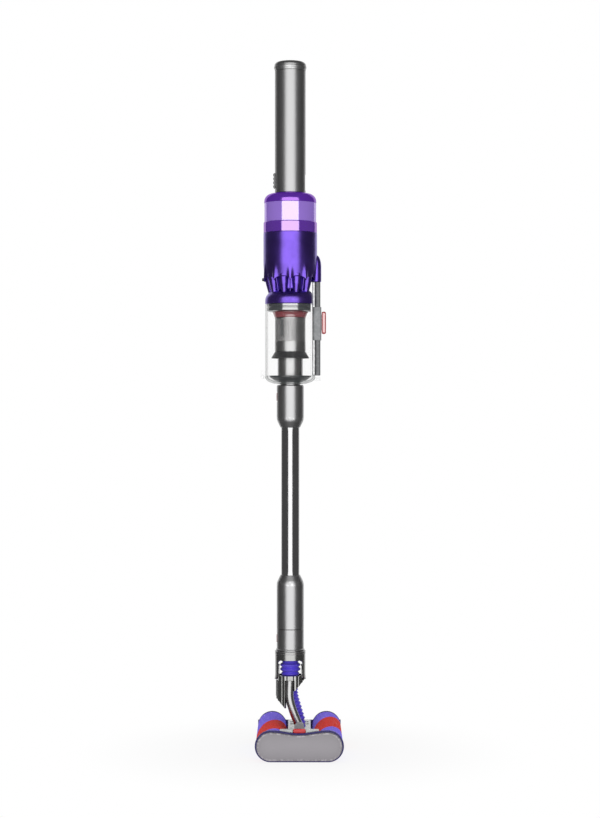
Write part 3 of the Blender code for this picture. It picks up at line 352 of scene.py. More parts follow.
@dataclass(frozen=True)
class MetallicPaint(Finish):
    """Metallic paint under a clear coat: tiny flakes, a deeper tint in clouds, paler edges."""

    deep: float = 0.7
    metallic: float = 1.0

    def mix(self, paint: Paint) -> None:
        """Flakes lighten the colour a little at random, and clouds shift it to a deeper tint."""
        flakes = paint.noise(3200.0, 1.0)
        cloud = paint.noise(30.0, 3.0)
        dark = tuple(c * self.deep for c in self.colour[:3]) + (1.0,)
        glint = tuple(min(1.0, c * 1.5 + 0.03) for c in self.colour[:3]) + (1.0,)
        base = paint.blend(cloud.above(0.3, 0.7), dark, self.colour)
        base = paint.blend(flakes.above(0.6, 0.8) * 0.35 + paint.worn() * 0.25, base, glint)
        paint.put(Base_Color=base, Metallic=self.metallic, Coat_Weight=0.25, Coat_Roughness=0.12)
        paint.put(Roughness=self.roughness + cloud * 0.06 - flakes * 0.04)
        paint.put(Normal=paint.relief(flakes, 0.000002))


@dataclass(frozen=True)
class Moulding(Finish):
    """Moulded plastic with a spark-eroded grain."""

    grain: float = 1500.0
    depth: float = 0.000018
    shine: float = 0.5

    def mix(self, paint: Paint) -> None:
        """Grain raises a fine bump, clouds vary the gloss, and handling polishes the edges."""
        grain = paint.noise(self.grain, 3.0)
        cloud = paint.noise(45.0, 3.0)
        worn = paint.worn()
        dark = tuple(c * 0.82 for c in self.colour[:3]) + (1.0,)
        pale = tuple(min(1.0, c * 1.35 + 0.02) for c in self.colour[:3]) + (1.0,)
        paint.put(Base_Color=paint.blend(worn * 0.5,
                                         paint.blend(grain * 0.4 + cloud * 0.6, dark, self.colour), pale))
        paint.put(Roughness=self.roughness - 0.06 + cloud * 0.14 - worn * 0.12, Specular_IOR_Level=self.shine)
        paint.put(Normal=paint.relief(grain, self.depth))


@dataclass(frozen=True)
class Gloss(Finish):
    """Glossy tinted plastic, solid or see-through, denser where it is seen edge on."""

    solid: float = 1.0
    rim: float = 0.0
    index: float = 2.0
    shine: float = 1.0
    tint: tuple[float, float, float, float] = (1.0, 1.0, 1.0, 1.0)

    def mix(self, paint: Paint) -> None:
        """Faint swirls and hairline scratches over a smooth coat; the alpha rises towards the outline."""
        cloud = paint.noise(28.0, 3.0)
        scratch = paint.noise(420.0, 4.0, (1.0, 1.0, 0.05)).above(0.66, 0.74)
        dark = tuple(c * 0.84 for c in self.colour[:3]) + (1.0,)
        paint.put(Base_Color=paint.blend(cloud, dark, self.colour), IOR=self.index,
                  Specular_IOR_Level=self.shine)
        paint.put(Roughness=self.roughness + cloud * 0.04 + scratch * 0.10, Specular_Tint=self.tint)
        paint.put(Normal=paint.relief(scratch * 0.4 + paint.noise(60.0, 1.0), 0.00001))
        if self.solid < 1.0:
            facing = paint.node("ShaderNodeLayerWeight", {}, {"Blend": 0.3}, "Facing")
            paint.put(Alpha=self.solid + scratch * 0.02 + facing.above(0.36, 0.80) * self.rim)


@dataclass(frozen=True)
class Elastomer(Finish):
    """Soft rubber: a powdery bloom in patches and a slight skin texture."""

    sheen: float = 0.2

    def mix(self, paint: Paint) -> None:
        """Skin texture as a bump; bloom pales the colour in patches."""
        skin = paint.noise(1100.0, 3.0)
        bloom = paint.noise(70.0, 4.0).above(0.45, 0.8)
        dusty = tuple(c * 0.8 + 0.06 for c in self.colour[:3]) + (1.0,)
        paint.put(Base_Color=paint.blend(bloom * 0.35, self.colour, dusty), Sheen_Weight=self.sheen)
        paint.put(Roughness=self.roughness + bloom * 0.12 - paint.worn() * 0.08)
        paint.put(Normal=paint.relief(skin, 0.00002))


@dataclass(frozen=True)
class Fleece(Finish):
    """Roller pile with a contrast band that winds round it."""

    band: tuple[float, float, float, float] = (0.8, 0.03, 0.02, 1.0)
    tip: tuple[float, float, float, float] = (0.5, 0.4, 0.9, 1.0)
    pitch: float = 0.21
    start: float = 0.0
    share: float = 0.38

    def mix(self, paint: Paint) -> None:
        """The band is where the turn and the height over the pitch fall in its share of one winding."""
        turn, height = paint.around()
        winding = (turn + height * (1.0 / self.pitch) + self.start
                   + (paint.noise(900.0, 2.0) - 0.5) * 0.02).wrapped()
        band = winding.above(0.0, 0.006) * (1 - winding.above(self.share - 0.006, self.share))
        tuft = paint.cells(1150.0)
        fibre = paint.noise(2600.0, 3.0)
        nap = (1 - tuft.above(0.1, 0.75)) * 0.7 + fibre * 0.4
        purple = paint.blend(nap, self.colour, self.tip)
        deep = tuple(c * 0.6 for c in self.band[:3]) + (1.0,)
        red = paint.blend(nap, deep, self.band)
        paint.put(Base_Color=paint.blend(band, purple, red), Roughness=0.86 + fibre * 0.12)
        paint.put(Sheen_Weight=0.12, Sheen_Roughness=0.4, Specular_IOR_Level=0.1)
        paint.put(Normal=paint.relief(nap, 0.00035))


@dataclass(frozen=True)
class Gauze(Finish):
    """Fine steel gauze: staggered round holes by turn and height on the piece's own map."""

    across: float = 170.0
    rise: float = 1050.0

    def mix(self, paint: Paint) -> None:
        """A hole is near the middle of each cell of two staggered grids; the steel between is brushed."""
        turn, height = paint.around()
        column, row = turn * self.across, height * self.rise
        hole: Signal | float = 0.0
        for shift in (0.0, 0.5):
            x = (column + shift).wrapped() - 0.5
            y = (row + shift).wrapped() - 0.5
            hole = hole + (1 - (x * x + y * y).above(0.020, 0.050))
        steel = paint.blend(paint.noise(700.0, 2.0, (1, 1, 0.1)), tone(150, 150, 150), self.colour)
        paint.put(Base_Color=paint.blend(hole, steel, tone(26, 26, 28)), Metallic=1 - hole * 0.8)
        paint.put(Roughness=self.roughness + hole * 0.3, Normal=paint.relief(1 - hole, 0.00015))


@dataclass(frozen=True)
class Wound(Finish):
    """Close-set fine lines, as on windings or a pleated medium."""

    lines: float = 260.0
    metallic: float = 0.0

    def mix(self, paint: Paint) -> None:
        """Bands across the height, a little distorted, over two tones of the colour."""
        wave = paint.node("ShaderNodeTexWave", {"bands_direction": "Z"},
                          {"Vector": paint.place(), "Scale": self.lines, "Distortion": 1.5, "Detail": 2.0})
        fade = tuple(c * 0.6 for c in self.colour[:3]) + (1.0,)
        paint.put(Base_Color=paint.blend(wave, fade, self.colour), Metallic=self.metallic)
        paint.put(Roughness=self.roughness + paint.noise(200.0) * 0.2, Normal=paint.relief(wave, 0.00008))


class Look:
    """Every finish that the vacuum wears."""

    satin = SatinMetal("satin_metallic_grey", (0.37, 0.37, 0.37, 1.0), 0.35)
    fitting = SatinMetal("satin_fitting_grey", (0.38, 0.38, 0.383, 1.0), 0.33)
    tube = SatinMetal("anodised_tube", (0.46, 0.46, 0.463, 1.0), 0.13, grain=2400.0)
    arm = SatinMetal("cast_arm_silver", (0.40, 0.40, 0.40, 1.0), 0.28)
    shield = SatinMetal("knuckle_graphite", (0.30, 0.30, 0.295, 1.0), 0.22)
    steel = SatinMetal("bright_steel", (0.60, 0.60, 0.61, 1.0), 0.22, stretch=(1.0, 0.08, 1.0))
    band = SatinMetal("shroud_silver", (0.40, 0.40, 0.40, 1.0), 0.30)
    # The end cap's top is darkened by painted shade, through fade.
    cap = SatinMetal("end_cap_paint_shaded_top", tone(160, 156, 161), 0.46, metallic=0.3, stretch=(0.04, 1.0, 1.0),
                     fade=0.056)
    purple = MetallicPaint("purple_flake_paint", (0.15, 0.075, 0.50, 1.0), 0.30)
    frame = Moulding("frame_plastic", tone(150, 152, 154), 0.45)
    navy = Moulding("navy_trim", tone(40, 32, 100), 0.42, shine=0.3)
    # The rail's back is a darker grey than the satin strip beside it: painted shade on one metal rail.
    rail = Moulding("rail_painted_shade_grey", tone(96, 97, 99), 0.4)
    catch = Moulding("catch_grey", tone(132, 134, 136), 0.4)
    dark = Moulding("dark_moulding", tone(46, 48, 50), 0.38)
    core = Moulding("core_moulding", tone(88, 88, 92), 0.5)
    ring = Gloss("seal_ring_gloss", tone(44, 50, 54), 0.14, index=2.4)
    red = Gloss("gloss_red", tone(206, 26, 26), 0.22, index=1.5, shine=0.5)
    pull = Gloss("pull_red", tone(176, 22, 32), 0.10, index=2.1)
    button = Gloss("button_red", tone(128, 26, 30), 0.22, index=1.5)
    cone = Gloss("shroud_cone_red", tone(140, 34, 48), 0.15, index=2.3)
    cap_purple = Gloss("deep_purple_gloss", tone(86, 28, 168), 0.12, index=2.4, tint=(0.70, 0.34, 1.0, 1.0))
    band_purple = Gloss("violet_gloss", tone(90, 16, 176), 0.07, index=2.7, tint=(0.86, 0.58, 1.0, 1.0),
                        solid=0.97, rim=0.03)
    lilac = Gloss("lilac_gloss", tone(172, 130, 246), 0.06, index=2.5, tint=(0.92, 0.82, 1.0, 1.0),
                  solid=0.94, rim=0.06)
    clear = Gloss("clear_polycarbonate", tone(140, 144, 146), 0.04, index=1.6, solid=0.012, rim=0.55)
    lens = Gloss("clear_lens", tone(112, 118, 118), 0.04, index=1.9, solid=0.06, rim=0.85)
    smoke = Gloss("smoky_cover", tone(206, 212, 208), 0.20, index=1.6, solid=0.72, rim=0.2)
    hose = Elastomer("purple_elastomer", tone(78, 58, 205), 0.34)
    rubber = Elastomer("matt_black_rubber", tone(34, 34, 36), 0.5)
    fleece_a = Fleece("roller_fleece_a", tone(96, 72, 238), tip=tone(170, 150, 255), band=tone(255, 62, 48),
                      start=0.112, share=0.40)
    fleece_b = Fleece("roller_fleece_b", tone(96, 72, 238), tip=tone(170, 150, 255), band=tone(255, 62, 48),
                      start=0.021, share=0.45)
    gauze = Gauze("steel_gauze", (0.62, 0.61, 0.61, 1.0), 0.38)
    copper = Wound("varnished_windings", (0.66, 0.30, 0.14, 1.0), 0.3, 240.0, 0.8)
    paper = Wound("pleated_filter", (0.82, 0.79, 0.88, 1.0), 0.8, 90.0)
    wrap = Moulding("cell_wrap", (0.06, 0.22, 0.36, 1.0), 0.3)


# ---------------------------------------------------------------- surfaces
@dataclass
class Patch:
    """Quads over points, with a map of turn and height on every corner and an edge mark on every point."""

    points: Array
    quads: Array
    turns: Array
    edge: Array


def lattice(points: Array, turn: Array, height: Array, edge: Array, wrap_rows: bool,
            wrap_columns: bool) -> Patch:
    """Joins a grid of points with quads; a wrapped side closes on its start.

    Args:
        points: Rows by columns by three.
        turn: A value for each column, and one more where columns wrap.
        height: A value for each row, and one more where rows wrap.
        edge: An edge mark for each row.
        wrap_rows: Whether the last row joins the first.
        wrap_columns: Whether the last column joins the first.

    Returns:
        The patch.
    """
    rows, columns = points.shape[:2]
    i = np.arange(rows if wrap_rows else rows - 1)[:, None]
    j = np.arange(columns if wrap_columns else columns - 1)[None, :]
    corner = [(i, j), (i, j + 1), (i + 1, j + 1), (i + 1, j)]
    quads = np.stack([(a % rows) * columns + b % columns for a, b in corner], axis=-1)
    maps = [np.stack(np.broadcast_arrays(turn[b], height[a]), axis=-1) for a, b in corner]
    marks = np.repeat(edge, columns)
    return Patch(points.reshape(-1, 3), quads.reshape(-1, 4), np.stack(maps, axis=2).reshape(-1, 2), marks)


def rounded(corners: Sequence[tuple[float, float, float]], closed: bool = True,
            steps: int = 5) -> tuple[Array, Array]:
    """Rounds the corners of a profile, each by a quadratic curve between two points on its sides.

    Args:
        corners: (across, along, fillet) for each corner.
        closed: Whether the last corner joins the first.
        steps: Points on each curve.

    Returns:
        The profile's points, and 1 for each of them on a curve.
    """
    flat = np.array(corners, float)
    share = np.linspace(0.0, 1.0, steps)[:, None]
    points, marks = [], []
    for index, (here, fillet) in enumerate(zip(flat[:, :2], flat[:, 2])):
        open_end = not closed and index in (0, len(flat) - 1)
        if fillet <= 0 or open_end:
            points.append(here[None])
            marks.append(np.zeros(1))
            continue
        sides = [flat[index - 1, :2] - here, flat[(index + 1) % len(flat), :2] - here]
        reach = min(fillet, *(0.46 * float(np.linalg.norm(s)) for s in sides))
        before, after = (s / np.linalg.norm(s) * reach for s in sides)
        curve = (1 - share) ** 2 * (here + before) + 2 * share * (1 - share) * here
        curve = curve + share**2 * (here + after)
        points.append(np.vstack([here + before * 1.06, curve, here + after * 1.06]))
        marks.append(np.concatenate([[0.0], np.ones(steps), [0.0]]))
    return np.vstack(points), np.concatenate(marks)


def filled(profile: Array, marks: Array, spacing: float) -> tuple[Array, Array]:
    """Adds evenly spread points to the long straight runs of a profile, but not to the run that closes it.

    Args:
        profile: The profile's points.
        marks: Their edge marks.
        spacing: The longest step wanted.

    Returns:
        The denser profile and its marks.
    """
    ahead = np.roll(profile, -1, axis=0)
    counts = np.maximum(1, np.ceil(np.linalg.norm(ahead - profile, axis=1) / spacing)).astype(int)
    counts[-1] = 1
    which = np.repeat(np.arange(len(profile)), counts)
    step = np.concatenate([np.arange(c) / c for c in counts])[:, None]
    points = profile[which] * (1 - step) + ahead[which] * step
    return points, np.where(step[:, 0] == 0, marks[which], 0.0)


def even(count: int) -> Array:
    """Angles that divide a full turn evenly."""
    return np.linspace(0.0, 2 * math.pi, count, endpoint=False)


def turned(corners: Sequence[tuple[float, float, float]], centre: Sequence[float] = (WAND_X, 0.0),
           axis: Axis = Axis.Z, closed: bool = True, angles: int | Array = ROUND, warp: Warp | None = None,
           spacing: float = 0.0) -> Patch:
    """Turns a profile about an axis: a point is at its radius in the direction of the angle, at its height.

    Args:
        corners: (radius, height, fillet) for each corner of the profile.
        centre: Where the axis crosses the other two directions.
        axis: The axis's direction.
        closed: Whether the profile closes; an open one starts and ends on the axis.
        angles: How many columns there are in an even turn, or their own angles.
        warp: Changes radii and heights by angle.
        spacing: Longest step along the profile, or 0 to leave long runs alone.

    Returns:
        The turned surface.
    """
    profile, marks = rounded(corners, closed)
    if spacing:
        profile, marks = filled(profile, marks, spacing)
    phi = even(angles) if isinstance(angles, int) else angles
    radius, height = (np.repeat(profile[:, k, None], len(phi), axis=1) for k in (0, 1))
    if warp is not None:
        radius, height = warp(phi, radius, height)
    a, b = centre[0] + radius * np.cos(phi), centre[1] + radius * np.sin(phi)
    stacked = {Axis.Z: (a, b, height), Axis.Y: (a, height, b), Axis.X: (height, a, b)}[axis]
    turn = np.append(phi, phi[0] + 2 * math.pi) / (2 * math.pi)
    rise = np.append(profile[:, 1], profile[0, 1])
    return lattice(np.stack(stacked, axis=-1), turn, rise, marks, closed, True)


def path_through(points: Sequence[Sequence[float]], count: int) -> Array:
    """A smooth line through points: cubic pieces whose slope at a point is that of its neighbours' chord.

    Args:
        points: The points on the way.
        count: How many points the line has.

    Returns:
        Count points, evenly spread between the given ones.
    """
    knots = np.array(points, float)
    chord = np.concatenate([[0.0], np.cumsum(np.linalg.norm(np.diff(knots, axis=0), axis=1))])
    slope = np.gradient(knots, chord, axis=0)
    t = np.linspace(0.0, chord[-1], count)
    k = np.clip(np.searchsorted(chord, t, side="right") - 1, 0, len(knots) - 2)
    span = (chord[k + 1] - chord[k])[:, None]
    s = (t - chord[k])[:, None] / span
    return ((2 * s**3 - 3 * s**2 + 1) * knots[k] + (s**3 - 2 * s**2 + s) * span * slope[k]
            + (3 * s**2 - 2 * s**3) * knots[k + 1] + (s**3 - s**2) * span * slope[k + 1])


def carried(line: Array, radii: Array, steps: int = 48, flat: float = 1.0) -> Patch:
    """Carries a round section along a line in a plane of constant y, and closes both ends.

    A point is the line's point plus the radius times the cosine along y and the sine across the line.

    Args:
        line: Points of the line.
        radii: The section's radius at each.
        steps: Facets round the section.
        flat: The section's depth along y as a share of its width.

    Returns:
        The closed tube.
    """
    along = np.gradient(line, axis=0)
    along /= np.linalg.norm(along, axis=1)[:, None]
    across = np.cross(np.array([0.0, 1.0, 0.0]), along)
    ends = [0, *range(len(line)), len(line) - 1]
    radii = np.concatenate([[0.0], radii, [0.0]])
    phi = even(steps)
    side = np.array([0.0, flat, 0.0])[None, None] * np.cos(phi)[None, :, None]
    grid = line[ends][:, None] + radii[:, None,
                                       None] * (side + across[ends][:, None] * np.sin(phi)[None, :, None])
    length = np.concatenate([[0.0], np.cumsum(np.linalg.norm(np.diff(line[ends], axis=0), axis=1))])
    return lattice(grid, np.append(phi, 2 * math.pi) / (2 * math.pi), length, np.zeros(len(ends)), False,
                   True)


def oblong(low: Sequence[float], high: Sequence[float], corner: float, steps: int = 6) -> Array:
    """The outline of a rectangle with round corners, counter-clockwise.

    Args:
        low: Lowest corner.
        high: Highest corner.
        corner: Corner radius.
        steps: Points on each corner.

    Returns:
        The outline's points.
    """
    corner = min(corner, 0.49 * (high[0] - low[0]), 0.49 * (high[1] - low[1]))
    turn = np.linspace(0.0, math.pi / 2, steps)
    parts = [
        (x + corner * np.cos(turn + start), y + corner * np.sin(turn + start))
        for x, y, start in (
            (high[0] - corner, high[1] - corner, 0.0), (low[0] + corner, high[1] - corner, math.pi / 2),
            (low[0] + corner, low[1] + corner, math.pi), (high[0] - corner, low[1] + corner, 1.5 * math.pi))
    ]
    return np.column_stack([np.concatenate([p[k] for p in parts]) for k in (0, 1)])


def slab(outline: Array, low: float, high: float, axis: Axis, fillet: float, crown: float = 0.0,
         hub: Array | None = None, rings: int = 8) -> Patch:
    """Thickens an outline, with rounded rims and two faces that close on its middle.

    A point is the outline's, moved inwards along its normal round each rim, and then drawn to the middle
    ring by ring.

    Args:
        outline: Outline points in the plane across the axis.
        low: Lower face.
        high: Upper face.
        axis: Direction of the thickness.
        fillet: Rim radius.
        crown: How far the faces fall from their middle to the rim.
        hub: The middle point of each outline point, or none for the outline's centre.
        rings: Rings on each face.

    Returns:
        The closed slab.
    """
    tangent = np.roll(outline, -1, axis=0) - np.roll(outline, 1, axis=0)
    tangent /= np.linalg.norm(tangent, axis=1)[:, None]
    area = np.sum(outline[:, 0] * np.roll(outline[:, 1], -1) - np.roll(outline[:, 0], -1) * outline[:, 1])
    outward = np.column_stack([tangent[:, 1], -tangent[:, 0]]) * np.sign(area)
    middle = np.broadcast_to(outline.mean(axis=0), outline.shape) if hub is None else hub
    turn = np.linspace(0.0, math.pi / 2, 5)
    ring = np.linspace(0.0, 1.0, rings, endpoint=False)
    inset = np.concatenate([np.full(rings, fillet), fillet * (1 - np.sin(turn))])
    rise = np.concatenate([crown * (1 - ring**2), -fillet * (1 - np.cos(turn))])
    shrink = np.concatenate([ring, np.ones(5)])
    mark = np.concatenate([np.zeros(rings), np.ones(5)])
    insets = np.concatenate([inset, inset[::-1]])
    heights = np.concatenate([low + crown - rise, (high - crown + rise)[::-1]])
    shrinks = np.concatenate([shrink, shrink[::-1]])
    marks = np.concatenate([mark, mark[::-1]])
    base = outline[None] - outward[None] * insets[:, None, None]
    grid = middle[None] + (base - middle[None]) * shrinks[:, None, None]
    level = np.broadcast_to(heights[:, None], grid.shape[:2])
    a, b = grid[..., 0], grid[..., 1]
    stacked = {Axis.Z: (a, b, level), Axis.Y: (a, level, b), Axis.X: (level, a, b)}[axis]
    span = np.linspace(0.0, 1.0, len(outline) + 1)
    return lattice(np.stack(stacked, axis=-1), span, heights, marks, False, True)


def block(low: Sequence[float], high: Sequence[float], axis: Axis, corner: float, fillet: float,
          crown: float = 0.0) -> Patch:
    """A rounded block between two corners, thick along the axis.

    Args:
        low: Lowest corner.
        high: Highest corner.
        axis: Direction of the thickness.
        corner: Corner radius of the outline across it.
        fillet: Rim radius.
        crown: How far the two faces fall from their middle to the rim.

    Returns:
        The closed block.
    """
    keep = {Axis.X: (1, 2, 0), Axis.Y: (0, 2, 1), Axis.Z: (0, 1, 2)}[axis]
    outline = oblong([low[k] for k in keep[:2]], [high[k] for k in keep[:2]], corner)
    return slab(outline, low[keep[2]], high[keep[2]], axis, fillet, crown)


def tilted(patch: Patch, start: Array, end: Array) -> Patch:
    """Turns a patch made about +Z at the origin so that its axis runs from start towards end.

    Args:
        patch: The patch.
        start: Where its origin goes.
        end: A point that its axis then passes through.

    Returns:
        The placed patch.
    """
    along = (end - start) / np.linalg.norm(end - start)
    side = np.cross([0.0, 0.0, 1.0], along)
    side /= np.linalg.norm(side)
    turn = np.column_stack([side, np.cross(along, side), along])
    return Patch(patch.points @ turn.T + start, patch.quads, patch.turns, patch.edge)


def at(radius: float, y: float, z: float) -> tuple[float, float, float]:
    """A point by its distance from the wand axis along x."""
    return (WAND_X + radius, y, z)


def piece(name: str, patches: Patch | Sequence[Patch], finish: Finish, body: str | None,
          nodes: Sequence[str] = (), sharp: float = 42.0) -> bpy.types.Object:
    """Makes one mesh object of patches, closes its seams and poles, and hangs it on its body.

    Args:
        name: The piece's name.
        patches: One or several surfaces.
        finish: What it is finished in.
        body: The body it rides on, or none.
        nodes: Nodes that it stands for.
        sharp: Angle in degrees past which an edge is shaded as a crease.

    Returns:
        The object.
    """
    group = [patches] if isinstance(patches, Patch) else list(patches)
    starts = np.cumsum([0, *(len(p.points) for p in group[:-1])])
    mesh = bpy.data.meshes.new(name)
    quads = np.vstack([p.quads + s for p, s in zip(group, starts)])
    mesh.from_pydata(np.vstack([p.points for p in group]), [], quads)
    mesh.uv_layers.new(name="turns").data.foreach_set("uv", np.vstack([p.turns for p in group]).ravel())
    mesh.attributes.new("edge", "FLOAT", "POINT").data.foreach_set("value",
                                                                   np.concatenate([p.edge for p in group]))
    form = bmesh.new()
    form.from_mesh(mesh)
    bmesh.ops.remove_doubles(form, verts=form.verts, dist=MERGE)
    bmesh.ops.dissolve_degenerate(form, edges=form.edges, dist=SLIVER)
    bmesh.ops.recalc_face_normals(form, faces=form.faces)
    form.to_mesh(mesh)
    form.free()
    mesh.shade_smooth()
    mesh.set_sharp_from_angle(angle=math.radians(sharp))
    mesh.materials.append(finish.material())
    made = bpy.data.objects.new(name, mesh)
    bpy.context.scene.collection.objects.link(made)
    if body:
        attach(made, body)
    if nodes:
        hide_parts(*nodes)
    LOG.info("%s: %d faces", name, len(mesh.polygons))
    return made


def dress(finish: Finish, *nodes: str) -> None:
    """Gives frame nodes a finish in place of their own.

    Args:
        finish: The finish.
        nodes: The nodes' names.
    """
    for name in nodes:
        data = frame["nodes"][name].data
        data.materials.clear()
        data.materials.append(finish.material())
        LOG.info("%s: dressed in %s", name, finish.name)


# ---------------------------------------------------------------- head
@dataclass
class Head:
    """The floor head: end caps in their trim, chassis, clear cover with its bridge, and the neck's posts."""

    spacing: float = 0.087
    radius: float = 0.0240
    rear_radius: float = 0.0230
    inset: float = 0.0025
    dip: float = 0.0045
    waist: float = 0.0330
    end: float = 0.0988
    frame_in: float = 0.0942
    half_length: float = 0.1040
    half_width: float = 0.0185
    cover_top: float = 0.0340
    bridge_top: float = 0.0484
    pivot: float = PIVOT_Z

    def end_outline(self, radius: float, waist: float | None) -> tuple[Array, Array]:
        """The end of the head: below, an arc about each roller axis; above, an edge that dips between them.

        Args:
            radius: The arcs' radius.
            waist: The height of a low middle, or none for the gentle dip.

        Returns:
            The outline and the middle point of each of its points.
        """
        half = self.spacing / 2
        arc = np.linspace(0.0, math.pi / 2, 24)
        right = half + radius * np.cos(arc)
        middle = np.linspace(half, -half, 41)[1:-1]
        x = np.concatenate([right, middle, -right[::-1]])
        outer = np.clip(np.abs(x) - half, 0.0, None)
        bow = np.sqrt(np.clip(radius**2 - outer**2, 0.0, None))
        swell = np.cos(math.pi * x / self.spacing) ** 2 * (np.abs(x) < half)
        if waist is None:
            upper = self.radius + bow - self.dip * swell
        else:
            inner = np.sqrt(np.clip(radius**2 - (np.abs(x) - half) ** 2, 0.0, None))
            upper = np.maximum(self.radius + inner, waist)
        lower = self.radius - bow
        lower = np.where(lower < 0.002, lower - (self.radius - radius), lower)
        outline = np.vstack([np.column_stack([x, upper])[:-1], np.column_stack([x, lower])[::-1][:-1]])
        hub = np.column_stack([np.clip(outline[:, 0], -half, half), np.full(len(outline), self.radius)])
        return outline, hub

    def ends(self) -> None:
        """Both ends: a trim frame, and a crowned cap that stands just inside its edge."""
        for label, side, radius, waist in (("front", -1, self.radius, None),
                                           ("rear", 1, self.rear_radius, self.waist)):
            outline, hub = self.end_outline(radius, waist)
            low, high = sorted((side * self.frame_in, side * (self.end - CLEAR)))
            piece(f"end_trim_{label}", slab(outline, low, high, Axis.Y, 0.0006, hub=hub, rings=3), Look.navy,
                  "head", [f"end_frame_{label}"])
            outline, hub = self.end_outline(radius - self.inset, None if waist is None else waist - 0.001)
            low, high = sorted((side * self.end, side * (self.half_length - 0.0001)))
            piece(f"end_cover_{label}", slab(outline, low, high, Axis.Y, 0.0019, 0.0024, hub, 14), Look.cap,
                  "head", [f"end_cap_{label}"])

    def middle(self) -> None:
        """The clear cover between the rollers, its bridge and the posts that hold the neck."""
        w, e = self.half_width, self.frame_in - CLEAR
        cover = [
            slab(oblong((-w, -e), (w, e), 0.003), 0.0204, self.cover_top, Axis.Z, 0.0022, 0.0003),
            block((-0.0180, 0.0060 - e, self.cover_top - 0.001),
                  (0.0180, 0.0085 - e, self.bridge_top - 0.001), Axis.Y, 0.002, 0.0008),
        ]
        for low, high in ((-0.0300, -0.0099), (0.0099, 0.0300)):
            cover.append(block((low, -e, self.bridge_top - 0.0060), (high, 0.0085 - e, self.bridge_top),
                               Axis.Y, 0.0016, 0.0008))
        piece("clear_cover", cover, Look.smoke, "head", ["head_cover"])
        posts = []
        for side in (-1, 1):
            low, high = sorted((side * 0.0225, side * 0.0270))
            outline = self.post_outline()
            posts.append(slab(outline, low, high, Axis.Y, 0.0006))
            posts.append(turned([(0.0, 0.0004 if side > 0 else -0.0004, 0), (0.0036, 0.0004 * side, 0.0003),
                                 (0.0036, -0.0006 * side, 0), (0.0, -0.0006 * side, 0)], (0.0, self.pivot),
                                Axis.Y, closed=False, angles=32,
                                warp=lambda phi, r, h, s=side: (r, h + s * 0.0270)))
        piece("neck_posts", posts, Look.frame, "head")
        ribs = [block((-0.0150, y - 0.0006, self.cover_top + 0.00002),
                      (0.0150, y + 0.0006, self.cover_top + 0.0008),
                      Axis.Z, 0.0005, 0.0003) for y in (-0.07, -0.05, 0.05, 0.07)]
        piece("cover_ribs", ribs, Look.frame, "head")

    def post_outline(self) -> Array:
        """A post's outline: a round top about the pivot on a foot that widens to the cover."""
        turn = np.linspace(0.0, math.pi, 24)
        top = np.column_stack([0.0074 * np.cos(turn), self.pivot + 0.0074 * np.sin(turn)])
        foot = np.array([[-0.0078, 0.0345], [-0.0079, 0.0331], [0.0079, 0.0331], [0.0078, 0.0345]])
        return np.vstack([top, foot])

    def release(self) -> None:
        """The red end release on the bridge."""
        e = self.frame_in - CLEAR
        grip = [block((-0.0095, 0.0002 - e, self.bridge_top - 0.0078),
                      (0.0095, 0.0055 - e, self.bridge_top + 0.001), Axis.Y, 0.0022, 0.0012, 0.0003)]
        piece("end_release_tab", grip, Look.red, "end_release", ["end_cap_release"])

    def build(self) -> None:
        """Makes and dresses the whole head."""
        self.ends()
        self.middle()
        self.release()
        dress(Look.frame, "head_chassis")
        dress(Look.steel, "roller_motor_a", "roller_motor_b", "roller_bearing_a", "roller_bearing_b",
              "lower_pivot_pin_front", "lower_pivot_pin_back")


